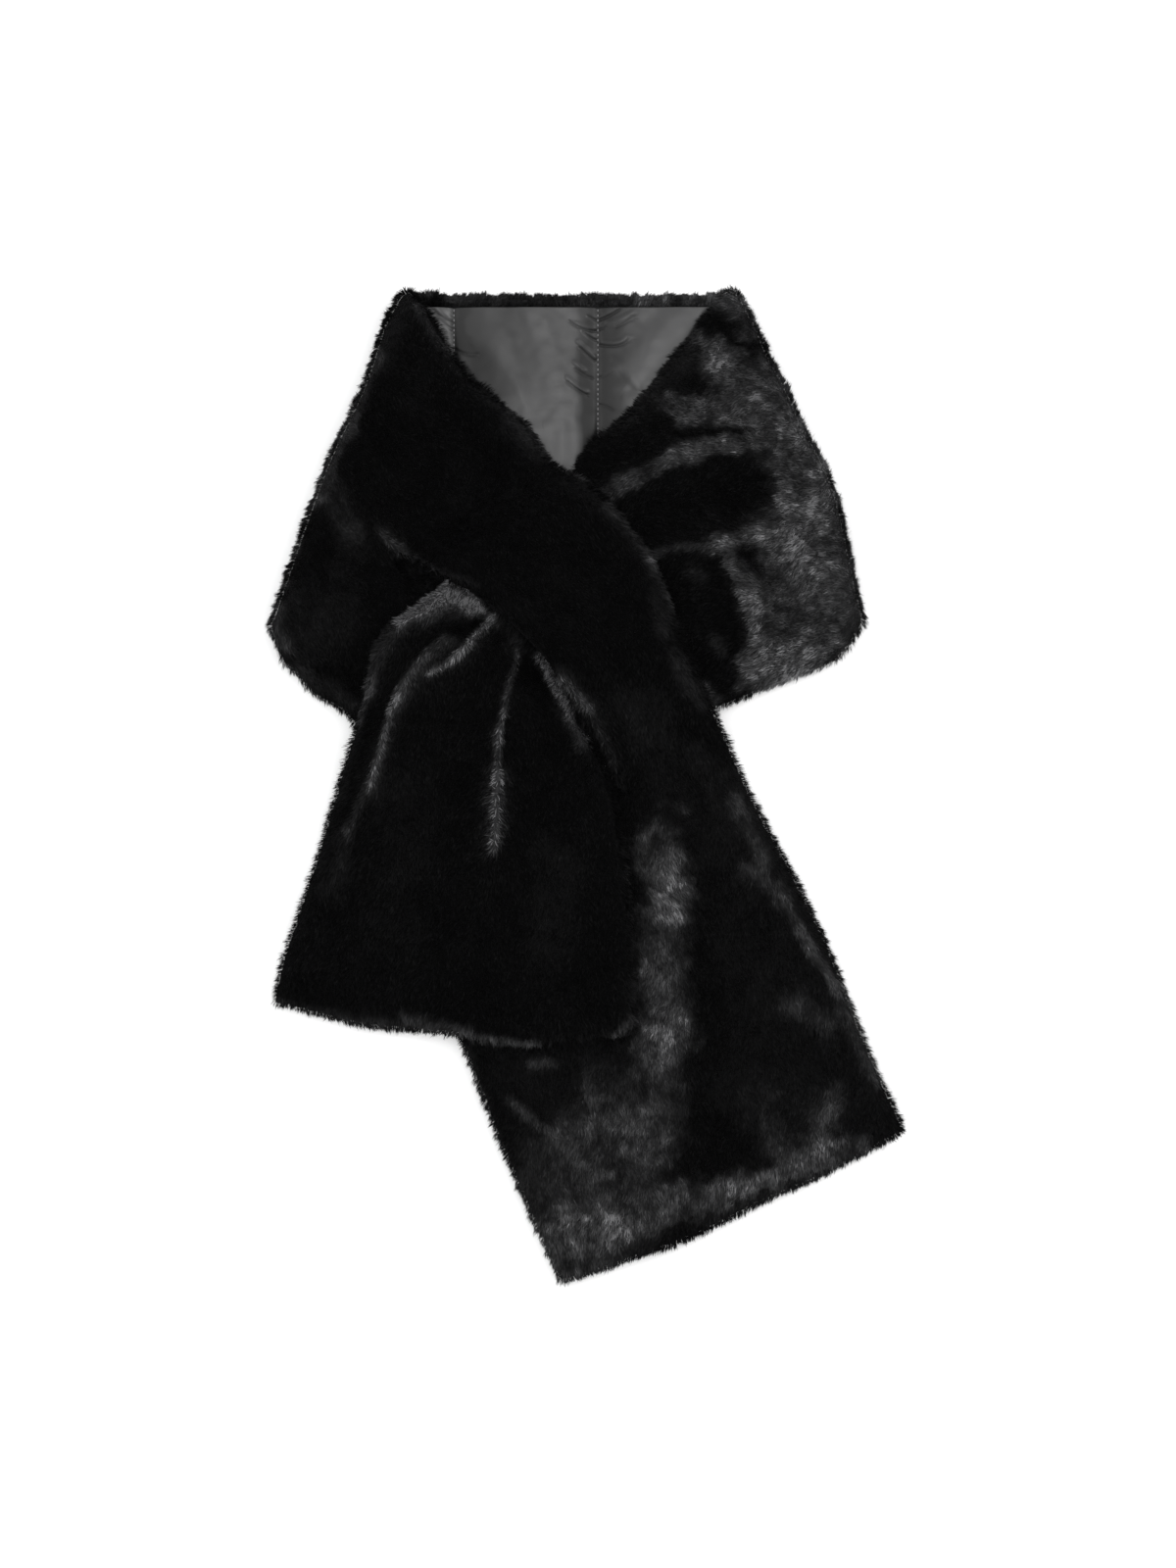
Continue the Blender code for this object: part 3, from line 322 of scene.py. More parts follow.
# Shades of a single fibre, from the darkest to the palest: linear grey, specular level, roughness. The darkest
# is the fur's own black; the paler ones are painted sheen, lit copies of it.
Shade = namedtuple("Shade", "grey specular roughness")
SHADES = (
    Shade(0.0037, 0.02, 0.60),
    Shade(0.0066, 0.04, 0.58),
    Shade(0.0120, 0.06, 0.56),
    Shade(0.0215, 0.08, 0.54),
    Shade(0.0380, 0.11, 0.52),
    Shade(0.0640, 0.15, 0.50),
    Shade(0.1480, 0.20, 0.48),
)

# The cloth.
GROUND_CELL = 0.0034        # size of the faces of the padded cloth
WELD = 1e-5                 # corners as near as this are one
SEAM_GAP = 0.0012           # how far apart two nodes of one band may be where they join
OPPOSITE = -0.9             # and how nearly opposite the two faces of such a join are
TUFT = 0.0050               # distance between the tufts that the pile stands in
TUFT_NUMBERS = 977          # how finely a tuft's place is read, to give it a number of its own
TUFT_SEED = 5
LEAST_TUFT = 0.55           # height of the lowest tuft, as a share of the highest
TUFT_SUNK = 0.4             # how much of a tuft's height lies below the middle of the cloth
PRESSED = 0.0006            # how far the cloth lies below its solid's surface where other cloth lies on it
NEIGHBOUR_WITHIN = 0.008    # how near other cloth has to be to press the pile
START_INSIDE = 0.001        # how far inside the cloth the search for such other cloth starts
START_OUTSIDE = 0.0005      # and how far outside it the search for the same cloth
STEEP = 0.5                 # cloth whose normal rises or falls less than this is an edge
LEVEL = 0.4                 # and cloth whose normal rises or falls more than this lies level
LINING_ROOM = 0.0016        # how far the lining side of the cloth lies inside its solid
FLOOR_PILE = 0.0026         # depth of the pile that is pressed under the back
SATIN_FACES = -0.97         # the steepest cloth that is still lining and not fur turned under
QUILT_DIP = 0.0011          # depth of the quilting lines on the lining's hidden side
QUILT_REACH = 0.0050

# The strip of fur that shows along the back's top edge.
BACK_STRIP = 0.017          # its width
STRIP_MIDDLE = -0.012       # the middle of its length
STRIP_HALF = 0.118          # half its length
STRIP_FADE = 0.02           # the run in which it fades at each end
STRIP_OUTER = 0.2           # cloth whose normal points outward more than this is its outer edge
STRIP_INNER = -0.2          # and inward more than this its inner edge
STRIP_SUNK = 0.0026         # how much further the cloth lies from its outer edge
STRIP_NAP = (0.25, 0.97)    # the way the pile lies on it
STRIP_LENGTH = 0.66         # length of the pile there, as a share of the rest

# Where the pile grows, and how thickly.
SLOT_END = (-0.100, 0.210)  # the corner of the part of the back that shows through the slot's open end
COVERED_WITHIN = 0.040      # how near other cloth has to be to hide the pile
LOOKS = ((0, 0), (1, 0), (-1, 0), (0, 1), (0, -1))      # the sides that the pile is looked at from
LOOK_FROM = 0.0015          # height above the cloth from which it is looked for
LOOK_RISE = 0.9             # how steeply the looks from the sides rise
TURNED_UNDER = -0.5         # the pile goes on round an edge until the cloth's normal falls this much
BACK_UNDER = -0.3           # and on the back, whose underside has pile of its own
EDGE_RISE = 0.75            # cloth whose normal rises less than this is an edge, where the pile is thicker
EDGE_OVER = 0.6             # the run in which it thickens
EDGE_EXTRA = 1.3            # and how much thicker it gets
STRIP_THICK = 4.5           # how thick it is on the strip
RIM_THICK = 2.0             # round the back's edge and in the slot
UNDER_THICK = 0.22          # and under the back

# The painted sheen, highlights and shade of the pile.
HARD_EDGE = 2.1             # how suddenly the palest patches end
PALE_PATCH = 0.5            # the shine above which a patch is one of them
SOFT_EDGE = 1.6             # how suddenly the rest end
RIDGE_EDGE = 1.1            # and the ridges
FOLD_EDGE = 1.5             # and the folds and painted shade of the lining
BESIDE = 2.2                # how far out a row of a table still counts, as a share of its reach
CURVE_STEPS = 33            # points along a curve
WANDER = (                  # how the patches' edges wander, across and up the plan
    (Layer(0.011, 1, 20), Layer(0.005, 0.6, 21), Layer(0.0024, 0.5, 24)),
    (Layer(0.011, 1, 22), Layer(0.005, 0.6, 23), Layer(0.0024, 0.5, 25)),
)
PATCH_WANDER = 0.0048       # how far they wander at most
PATCH_WANDER_SHARE = 0.40   # and as a share of the patch's width
RIDGE_WANDER = 0.0010       # and the same for the ridges
RIDGE_WANDER_SHARE = 0.20
PATCH_LIMIT = 0.72          # as pale as patches get where they lie over each other
PATCH_GAIN = 1.15           # and how fast they get there
CLOUDY = 0.44               # how much a patch varies inside
CLOUDS = (Layer(0.021, 0.50, 0), Layer(0.009, 0.85, 2), Layer(0.0042, 0.60, 3), Layer(0.0022, 0.20, 9))
TONES = (Layer(0.034, 0.7, 4), Layer(0.012, 0.5, 5))    # how the darkest pile varies

# The fibres.
SWIRLS = (Layer(0.028, 0.34, 6), Layer(0.011, 0.34, 7))     # how the nap turns
STRAY_TURN = 0.24           # how much single fibres turn from it
LIES_OVER = 0.5             # the shine from which the pile lies right over
LEANS = (Layer(0.013, 0.16, 8),)                            # how its lean varies
STRAY_LEAN = 0.18           # how much single fibres lean from it
SIDE_RISE = 0.7             # cloth whose normal rises less than this is a side
SIDE_OVER = 0.5             # and the run in which it becomes one
SIDE_UPRIGHT = 0.35         # how much less the pile leans there
STRAY_LENGTH = 0.16         # how much single fibres vary in length
SHORTEST = 0.55
LONGEST = 1.45
TUFT_LENGTH = 0.36          # how much the tufts vary in length
SIDE_TUFT_LENGTH = 0.14     # how much more they do at the sides
SIDE_SHORT = 0.12           # how much shorter the pile is there
STRIP_SHORTEST = 0.70       # length of the shortest tufts on the back
STRIP_TUFT_LENGTH = 0.70    # and how much they vary
LOWER_LEAN = 0.7            # lean of a fibre's lower half, as a share of the pile's
UPPER_LEAN = 1.25           # and of its upper half
TUFT_PULL = 0.30            # how far a fibre's tip is drawn to its tuft's middle
SIDE_PULL = 0.06            # how much further at the sides
LEAST_PULL = 0.6            # how much that varies
MORE_PULL = 0.8
MIDDLE_PULL = 0.4           # how far a fibre's middle is drawn, as a share of its tip
MOST_ROLL = 0.9             # how far a fibre turns round its own length
NARROWEST = 0.7             # how fibres vary in width
WIDEST = 1.3
SEEN_FROM = 0.35            # the part of a fibre that shows, as shares of its length
SEEN_TO = 0.90
TUFT_SHADE = 0.20           # how much the tufts vary in shade
TUFT_MIDDLE_PAINTED_LIGHT = 0.06     # painted light: how much paler a tuft's middle is
TUFT_RIM_PAINTED_SHADE = 0.14        # and painted shade: how much darker than that its rim, where the tufts part
STRAY_SHADE = 0.26          # how many shades single fibres vary by in the darkest pile
STRAY_SHADE_PALE = 0.24     # how many more in the palest
STRAY_SHADE_PARTED = 0.80   # and on a ridge

# The materials.
FIBRE_DYE = 0.28            # how much a fibre's colour varies
FIBRE_BLUE = 1.03           # its blue, as a share of its red and green
GROUND_DARK = (0.0012, 0.0012, 0.0013)
GROUND_PALE = (0.0050, 0.0050, 0.0053)
GROUND_PAINTED_SHEEN = (0.045, 0.045, 0.0465)     # painted sheen: the ground where the pile above it is painted pale
SATIN_DYE = 0.20            # how much the satin's colour varies
SATIN_IN_PAINTED_SHADE = 0.06          # and how much of it is left in its painted shade
THREAD_DYE = 0.3
FLOOR_DYE = 0.01
MIX_SHARE, MIX_FIRST, MIX_SECOND, MIX_RESULT = 0, 6, 7, 2       # sockets of a mix of two colours


class FurSettings(bpy.types.PropertyGroup):
    """How the pile grows."""

    length: FloatProperty(
        name="Length", description="Length of a fibre", default=0.0064, min=0.003, max=0.03, unit="LENGTH")
    width: FloatProperty(
        name="Width", description="Width of a fibre at its widest", default=0.00074, min=0.0003, max=0.003,
        unit="LENGTH")
    depth: FloatProperty(
        name="Depth", description="How far the cloth lies below the mass of the pile", default=0.0030,
        min=0.001, max=0.009, unit="LENGTH")
    upright: FloatProperty(
        name="Upright lean", description="Lean of the pile where it stands up", default=math.radians(32),
        subtype="ANGLE", unit="ROTATION")
    laid: FloatProperty(
        name="Laid lean", description="Lean of the pile where it lies over", default=math.radians(56),
        subtype="ANGLE", unit="ROTATION")
    tuft_height: FloatProperty(
        name="Tuft height", description="How far the tufts stand out of the pile", default=0.0008, min=0,
        max=0.005, unit="LENGTH")
    density: FloatProperty(
        name="Density", description="Share of the fibres that are made", default=1.0, min=0.02, max=1.0,
        subtype="FACTOR")


class LiningSettings(bpy.types.PropertyGroup):
    """The quilted satin lining."""

    colour: FloatVectorProperty(
        name="Satin", description="Colour of the satin", default=(0.0365, 0.0365, 0.0370), size=3,
        min=0, max=1, subtype="COLOR")
    thread: FloatVectorProperty(
        name="Thread", description="Colour of the quilting thread", default=(0.12, 0.12, 0.123), size=3,
        min=0, max=1, subtype="COLOR")
    pitch: FloatProperty(
        name="Pitch", description="Distance between stitched lines", default=0.118, min=0.03, max=0.3,
        unit="LENGTH")
    stitch: FloatProperty(
        name="Stitch", description="Length of one stitch", default=0.0020, min=0.001, max=0.006,
        unit="LENGTH")
    stitch_step: FloatProperty(
        name="Stitch step", description="Distance from one stitch to the next", default=0.0040, min=0.0015,
        max=0.008, unit="LENGTH")
    cells: IntProperty(
        name="Cells", description="Rows of faces down the lining that shows", default=200, min=20, max=300)


class StudioSettings(bpy.types.PropertyGroup):
    """Floor, lights and camera."""

    floor: FloatVectorProperty(
        name="Floor", description="Colour of the floor", default=(0.86, 0.86, 0.86), size=3, min=0, max=1,
        subtype="COLOR")
    fill: FloatProperty(
        name="Fill", description="Strength of the light from all round", default=1.05, min=0, max=4)
    overhead: FloatProperty(
        name="Overhead", description="Strength of the large lamp above", default=34, min=0, max=400,
        unit="POWER")
    key: FloatProperty(
        name="Key", description="Strength of the large lamp to the right", default=40, min=0, max=400,
        unit="POWER")
    second: FloatProperty(
        name="Second", description="Strength of the large lamp to the left", default=20, min=0, max=400,
        unit="POWER")
    distance: FloatProperty(
        name="Distance", description="Height of the camera above the stole", default=3.02, min=0.5, max=10,
        unit="LENGTH")
    lens: FloatProperty(
        name="Lens", description="Focal length in millimetres", default=85, min=20, max=200)


# Helpers ----------------------------------------------------------------------------------------------


def ease(t):
    """0 to 1 with level ends."""
    t = np.clip(t, 0, 1)
    return t * t * (3 - 2 * t)


def cell_number(ix, iy, seed):
    """A repeatable number from 0 to 1 for each cell of a square lattice."""
    mixed = (ix * 374761393 + iy * 668265263 + seed * 974634777) & 0xFFFFFFFF
    mixed = ((mixed ^ (mixed >> 13)) * 1274126177) & 0xFFFFFFFF
    return ((mixed ^ (mixed >> 16)) & 0xFFFFFF) / 0xFFFFFF


def mottle(points, size, seed):
    """Smooth noise from -1 to 1 over plan positions, with patches of one size."""
    place = points[:, :2] / size
    cell = np.floor(place).astype(np.int64)
    t = ease(place - cell)
    total = 0
    for dx in (0, 1):
        for dy in (0, 1):
            share = np.where(dx, t[:, 0], 1 - t[:, 0]) * np.where(dy, t[:, 1], 1 - t[:, 1])
            total = total + share * cell_number(cell[:, 0] + dx, cell[:, 1] + dy, seed)
    return 2 * total - 1


def mottled(plan, layers, seed):
    """Layers of mottle, each with its own patches, summed."""
    return sum(layer.amount * mottle(plan, layer.size, seed + layer.seed) for layer in layers)


def along_curve(row):
    """Points along a table row's curve."""
    t = np.linspace(0, 1, CURVE_STEPS)[:, None]
    start = np.array((row.start_x, row.start_y)) + DRAFT_ORIGIN
    bend = np.array((row.bend_x, row.bend_y)) + DRAFT_ORIGIN
    end = np.array((row.end_x, row.end_y)) + DRAFT_ORIGIN
    return (1 - t) ** 2 * start + 2 * t * (1 - t) * bend + t ** 2 * end


def beside(plan, row, edge):
    """1 on a table row's curve, falling to 0 past its reach on each side, and the way straight out."""
    curve = along_curve(row)
    heading = np.gradient(curve, axis=0)
    margin = BESIDE * max(row.left, row.right)
    inside = ((plan > curve.min(axis=0) - margin) & (plan < curve.max(axis=0) + margin)).all(axis=1)
    few = plan[inside]
    best = np.full(len(few), np.inf)
    side = np.zeros(len(few))
    out = np.zeros_like(few)
    for here, ahead in zip(curve, heading):
        offset = few - here
        squared = (offset ** 2).sum(axis=1)
        closer = squared < best
        best = np.where(closer, squared, best)
        side = np.where(closer, ahead[0] * offset[:, 1] - ahead[1] * offset[:, 0], side)
        out = np.where(closer[:, None], offset, out)
    reach = np.where(side > 0, row.left, row.right)
    near = np.zeros(len(plan))
    outward = np.zeros_like(plan)
    near[inside] = np.exp(-(best / reach ** 2) ** edge)
    outward[inside] = unit(out)
    return near, outward


def nap_headings(plan, course):
    """Unit heading of the band, and so of its pile, at each point, and how far along the band it is."""
    middle = np.array([(row.x, row.y) for row in course]) + DRAFT_ORIGIN
    lengths = np.linalg.norm(np.diff(middle, axis=0), axis=1)
    starts = np.concatenate(((0,), np.cumsum(lengths)))
    spread = np.radians([row.spread for row in course])
    turns = np.radians([row.turn for row in course])
    best = np.full(len(plan), np.inf)
    heading = np.zeros((len(plan), 2))
    along = np.zeros(len(plan))
    last = len(lengths) - 1
    for i, length in enumerate(lengths):
        ahead = (middle[i + 1] - middle[i]) / length
        offset = plan - middle[i]
        t = offset @ ahead / length
        held = np.clip(t, 0, 1)
        aside = ahead[0] * offset[:, 1] - ahead[1] * offset[:, 0]
        squared = ((offset - np.outer(held * length, ahead)) ** 2).sum(axis=1)
        closer = squared < best
        best = np.where(closer, squared, best)
        turn = aside / (BAND_WIDTH / 2) * (spread[i] + (spread[i + 1] - spread[i]) * held)
        turn += turns[i] + (turns[i + 1] - turns[i]) * held
        turned = np.column_stack((
            ahead[0] * np.cos(turn) - ahead[1] * np.sin(turn),
            ahead[0] * np.sin(turn) + ahead[1] * np.cos(turn)))
        heading = np.where(closer[:, None], turned, heading)
        past = t if i == last else held
        along = np.where(closer, starts[i] + past * length, along)
    return heading, along


def unit(vectors):
    """Vectors scaled to length 1."""
    return vectors / np.maximum(np.linalg.norm(vectors, axis=-1, keepdims=True), 1e-12)


def tree_of(*meshes):
    """One tree of the meshes' faces, for rays."""
    points = []
    faces = []
    for mesh in meshes:
        base = len(points)
        points.extend(v.co.copy() for v in mesh.vertices)
        faces.extend(tuple(corner + base for corner in p.vertices) for p in mesh.polygons)
    return BVHTree.FromPolygons(points, faces)


def joined_solid(nodes):
    """The nodes' solids as one closed form, without the faces where they meet."""
    body = bmesh.new()
    for node in nodes:
        body.from_mesh(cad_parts[node].data)
    bmesh.ops.remove_doubles(body, verts=body.verts, dist=WELD)
    body.normal_update()
    trees = [tree_of(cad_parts[node].data) for node in nodes]
    inner = []
    for face in body.faces:
        for tree in trees:
            place, normal, _, distance = tree.find_nearest(face.calc_center_median(), SEAM_GAP)
            if place is not None and distance > WELD and normal.dot(face.normal) < OPPOSITE:
                inner.append(face)
                break
    bmesh.ops.delete(body, geom=inner, context="FACES")
    rim = [v for v in body.verts if v.is_boundary]
    bmesh.ops.remove_doubles(body, verts=rim, dist=SEAM_GAP)
    bmesh.ops.holes_fill(body, edges=[e for e in body.edges if e.is_boundary], sides=0)
    mesh = bpy.data.meshes.new("joined")
    body.to_mesh(mesh)
    body.free()
    return mesh


def evened(mesh, cell):
    """The mesh made again from even faces, with its facets smoothed."""
    piece = bpy.data.objects.new("evening", mesh)
    bpy.context.scene.collection.objects.link(piece)
    evening = piece.modifiers.new("Evening", "REMESH")
    evening.mode = "VOXEL"
    evening.voxel_size = cell
    smoothing = piece.modifiers.new("Smoothing", "SMOOTH")
    smoothing.factor = 0.5
    smoothing.iterations = 3
    depsgraph = bpy.context.evaluated_depsgraph_get()
    result = bpy.data.meshes.new_from_object(piece.evaluated_get(depsgraph))
    bpy.data.objects.remove(piece)
    bpy.data.meshes.remove(mesh)
    return result


def triples(items, name):
    """A value of three numbers of each item, as an array."""
    flat = np.empty(len(items) * 3, dtype=np.float32)
    items.foreach_get(name, flat)
    return flat.reshape(-1, 3).astype(float)


def positions(mesh):
    """Vertex positions as an array."""
    return triples(mesh.vertices, "co")


def vertex_normals(mesh):
    """Vertex normals as an array."""
    return triples(mesh.vertex_normals, "vector")


def move_vertices(mesh, places):
    """Put the vertices at the places given."""
    mesh.vertices.foreach_set("co", places.astype(np.float32).ravel())
    mesh.update()


def triangles_of(mesh):
    """Corner numbers of the mesh's triangles."""
    mesh.calc_loop_triangles()
    flat = np.empty(len(mesh.loop_triangles) * 3, dtype=np.int32)
    mesh.loop_triangles.foreach_get("vertices", flat)
    return flat.reshape(-1, 3)


def mesh_from_arrays(name, points, corners, sizes, slots=None):
    """A mesh from arrays: every face's corner numbers in a row, each face's number of corners, its slot."""
    mesh = bpy.data.meshes.new(name)
    mesh.vertices.add(len(points))
    mesh.vertices.foreach_set("co", points.astype(np.float32).ravel())
    mesh.loops.add(len(corners))
    mesh.loops.foreach_set("vertex_index", corners.astype(np.int32))
    mesh.polygons.add(len(sizes))
    starts = np.concatenate(((0,), np.cumsum(sizes)[:-1]))
    mesh.polygons.foreach_set("loop_start", starts.astype(np.int32))
    mesh.polygons.foreach_set("loop_total", sizes.astype(np.int32))
    if slots is not None:
        mesh.polygons.foreach_set("material_index", slots.astype(np.int32))
    mesh.update(calc_edges=True)
    return mesh


def write_values(mesh, name, values):
    """Keep a number from 0 to 1 at each vertex, for a material to read."""
    kept = mesh.attributes.new(name, "FLOAT", "POINT")
    kept.data.foreach_set("value", np.clip(values, 0, 1).astype(np.float32))


def add_piece(name, mesh, slot, *materials):
    """Put a mesh in the scene as a piece of the stole."""
    for material in materials:
        mesh.materials.append(material)
    piece = bpy.data.objects.new(name, mesh)
    bpy.context.scene.collection.objects.link(piece)
    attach(piece, BODY)
    return piece


# Materials --------------------------------------------------------------------------------------------


def new_material(name):
    """A material with its Principled shader."""
    material = bpy.data.materials.new(name)
    material.use_nodes = True
    return material, material.node_tree.nodes["Principled BSDF"]


def two_colours(material, share, first, second):
    """A mix from the first colour to the second by a socket."""
    mix = material.node_tree.nodes.new("ShaderNodeMix")
    mix.data_type = "RGBA"
    mix.inputs[MIX_FIRST].default_value = (*first, 1)
    mix.inputs[MIX_SECOND].default_value = (*second, 1)
    material.node_tree.links.new(share, mix.inputs[MIX_SHARE])
    return mix


def varied(material, share, colour, dye):
    """A mix of a colour made darker and paler by the same share, by a socket."""
    colour = np.array(colour)
    return two_colours(material, share, (1 - dye) * colour, (1 + dye) * colour)


def fibre_materials():
    """One material for each shade of fibre, which varies a little from fibre to fibre. Past the darkest, the
    shades are painted sheen.
    """
    made = []
    for number, shade in enumerate(SHADES):
        material, shader = new_material(f"fur_fibre_{number + 1}")
        dyed = object_noise(material, scale=420, detail=2)
        colour = (shade.grey, shade.grey, shade.grey * FIBRE_BLUE)
        mix = varied(material, dyed.outputs["Fac"], colour, FIBRE_DYE)
        material.node_tree.links.new(mix.outputs[MIX_RESULT], shader.inputs["Base Color"])
        shader.inputs["Roughness"].default_value = shade.roughness
        shader.inputs["Specular IOR Level"].default_value = shade.specular
        made.append(material)
    return made


def link_bump(material, shader, height, strength, distance):
    """Raise a surface by a height socket."""
    bump = material.node_tree.nodes.new("ShaderNodeBump")
    bump.inputs["Strength"].default_value = strength
    bump.inputs["Distance"].default_value = distance
    material.node_tree.links.new(height, bump.inputs["Height"])
    material.node_tree.links.new(bump.outputs["Normal"], shader.inputs["Normal"])


def object_noise(material, scale, detail):
    """A noise texture that is fixed to the object."""
    nodes = material.node_tree.nodes
    place = nodes.new("ShaderNodeTexCoord")
    grain = nodes.new("ShaderNodeTexNoise")
    grain.inputs["Scale"].default_value = scale
    grain.inputs["Detail"].default_value = detail
    material.node_tree.links.new(place.outputs["Object"], grain.inputs["Vector"])
    return grain


def backing_material():
    """The knitted ground that the pile grows from, nearly black, with painted sheen where the pile above it is
    painted pale.
    """
    material, shader = new_material("fur_ground")
    loops = object_noise(material, scale=900, detail=3)
    knit = two_colours(material, loops.outputs["Fac"], GROUND_DARK, GROUND_PALE)
    # Painted sheen: the ground is painted paler where the pile's painted sheen is pale.
    over = material.node_tree.nodes.new("ShaderNodeAttribute")
    over.attribute_name = "laid_over"
    painted_sheen_mix = two_colours(material, over.outputs["Fac"], GROUND_DARK, GROUND_PAINTED_SHEEN)
    material.node_tree.links.new(knit.outputs[MIX_RESULT], painted_sheen_mix.inputs[MIX_FIRST])
    material.node_tree.links.new(painted_sheen_mix.outputs[MIX_RESULT], shader.inputs["Base Color"])
    shader.inputs["Roughness"].default_value = 0.9
    shader.inputs["Specular IOR Level"].default_value = 0.03
    link_bump(material, shader, loops.outputs["Fac"], strength=0.5, distance=0.0006)
    return material


def satin_material(colour):
    """Charcoal satin: a close weave with a soft gloss, with painted shade beside its stitched lines and in its
    folds, and rougher there.
    """
    material, shader = new_material("lining_satin")
    nodes = material.node_tree.nodes
    links = material.node_tree.links
    cloudy = object_noise(material, scale=16, detail=3)
    satin = varied(material, cloudy.outputs["Fac"], colour, SATIN_DYE)
    # Painted shade from the values the lining keeps: darker by the stitched lines, along the shadow rows and
    # in the folds.
    drawn = nodes.new("ShaderNodeAttribute")
    drawn.attribute_name = "drawn_in"
    painted_shade_mix = two_colours(material, drawn.outputs["Fac"], colour, [SATIN_IN_PAINTED_SHADE * c for c in colour])
    links.new(satin.outputs[MIX_RESULT], painted_shade_mix.inputs[MIX_FIRST])
    links.new(painted_shade_mix.outputs[MIX_RESULT], shader.inputs["Base Color"])
    gloss = nodes.new("ShaderNodeMapRange")
    gloss.inputs["To Min"].default_value = 0.34
    gloss.inputs["To Max"].default_value = 0.46
    links.new(drawn.outputs["Fac"], gloss.inputs["Value"])
    links.new(gloss.outputs["Result"], shader.inputs["Roughness"])
    place = nodes.new("ShaderNodeTexCoord")
    weave = nodes.new("ShaderNodeTexWave")
    weave.bands_direction = "DIAGONAL"
    weave.inputs["Scale"].default_value = 520
    weave.inputs["Distortion"].default_value = 1.2
    weave.inputs["Detail"].default_value = 2
    links.new(place.outputs["Object"], weave.inputs["Vector"])
    link_bump(material, shader, weave.outputs["Fac"], strength=0.10, distance=0.0003)
    shader.inputs["Specular IOR Level"].default_value = 0.29
    shader.inputs["Sheen Weight"].default_value = 0.02
    shader.inputs["Sheen Roughness"].default_value = 0.4
    return material


def thread_material(colour):
    """Twisted quilting thread."""
    material, shader = new_material("quilting_thread")
    twist = object_noise(material, scale=4200, detail=2)
    spun = varied(material, twist.outputs["Fac"], colour, THREAD_DYE)
    material.node_tree.links.new(spun.outputs[MIX_RESULT], shader.inputs["Base Color"])
    shader.inputs["Roughness"].default_value = 0.55
    link_bump(material, shader, twist.outputs["Fac"], strength=0.3, distance=0.0002)
    return material


def shared(name, make, *values):
    """A material made once and used by every piece that needs it."""
    return bpy.data.materials.get(name) or make(*values)


# The band's cloth and pile ----------------------------------------------------------------------------


def tufts_at(points):
    """How far each point is from its tuft's middle, from 0 to 1, the way there, and the tuft's number."""
    near = np.empty(len(points))
    middle = np.empty((len(points), 3))
    for i, point in enumerate(points):
        distances, cells = noise.voronoi(Vector(point) / TUFT)
        near[i] = distances[0] / max(distances[1], 1e-6)
        middle[i] = cells[0]
    place = np.floor(middle[:, :2] * TUFT_NUMBERS).astype(np.int64)
    number = cell_number(place[:, 0], place[:, 1], TUFT_SEED)
    return near, middle * TUFT - points, number


def cloth_mesh(band, fur, pitch):
    """The padded cloth of one band, inside its solid by the depth of its pile, and lumpy as its tufts are.

    Its satin side, which lies underneath, is the second of its materials and is drawn in by quilting lines.
    """
    mesh = evened(joined_solid(band.nodes), GROUND_CELL)
    places = positions(mesh)
    normals = vertex_normals(mesh)
    neighbours = tree_of(*(node.data for name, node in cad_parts.items() if name not in band.nodes))
    own = tree_of(mesh)
    up = normals[:, 2]
    pressed = np.zeros(len(places), dtype=bool)
    for i, (place, normal) in enumerate(zip(places, normals)):
        ray = Vector(normal)
        place = Vector(place)
        pressed[i] = neighbours.ray_cast(place - START_INSIDE * ray, ray, NEIGHBOUR_WITHIN)[0] is not None
        if not pressed[i] and abs(up[i]) < STEEP:
            pressed[i] = own.ray_cast(place + START_OUTSIDE * ray, ray, NEIGHBOUR_WITHIN)[0] is not None
    depth = np.full(len(places), fur.depth)
    if band.fur_up:
        _, along = nap_headings(places[:, :2], band.course)
        off_line = np.abs((along / pitch) % 1 - 0.5) * pitch
        dip = QUILT_DIP * np.exp(-(off_line / QUILT_REACH) ** 2)
        depth = np.where(up < -LEVEL, LINING_ROOM + dip, depth)
    else:
        depth = np.where(up < -LEVEL, FLOOR_PILE, depth)
        depth = np.where((up > LEVEL) & (places[:, 1] < SOLID_HIGH[1] - BACK_STRIP), LINING_ROOM, depth)
        between = ease((STRIP_HALF - np.abs(places[:, 0] - STRIP_MIDDLE)) / STRIP_FADE)
        depth = depth + STRIP_SUNK * between * (normals[:, 1] > STRIP_OUTER)
    depth = np.where(pressed, PRESSED, depth)
    near, _, number = tufts_at(places)
    height = LEAST_TUFT + (1 - LEAST_TUFT) * number
    lump = fur.tuft_height * (height * (1 - ease(near)) - TUFT_SUNK)
    places -= normals * (depth - np.where(depth >= fur.depth, lump, 0))[:, None]
    for pull in PULLS:
        if pull.band in (band.name, "all"):
            away = np.linalg.norm(places[:, :2] - (pull.x, pull.y), axis=1)
            places[:, :2] += np.exp(-(away / pull.reach) ** 2)[:, None] * np.array((pull.dx, pull.dy))
    places[:, 2] = np.maximum(places[:, 2], FLOOR_GAP)
    move_vertices(mesh, places)
    mesh.shade_smooth()
    # The pile's painted sheen and tone, kept so that the ground under it is painted paler too.
    over, _ = shine_at(places[:, :2], places[:, :2], band)
    write_values(mesh, "laid_over", over)
    if band.fur_up:
        satin = triples(mesh.polygons, "normal")[:, 2] < SATIN_FACES
        mesh.polygons.foreach_set("material_index", satin.astype(np.int32))
    return mesh


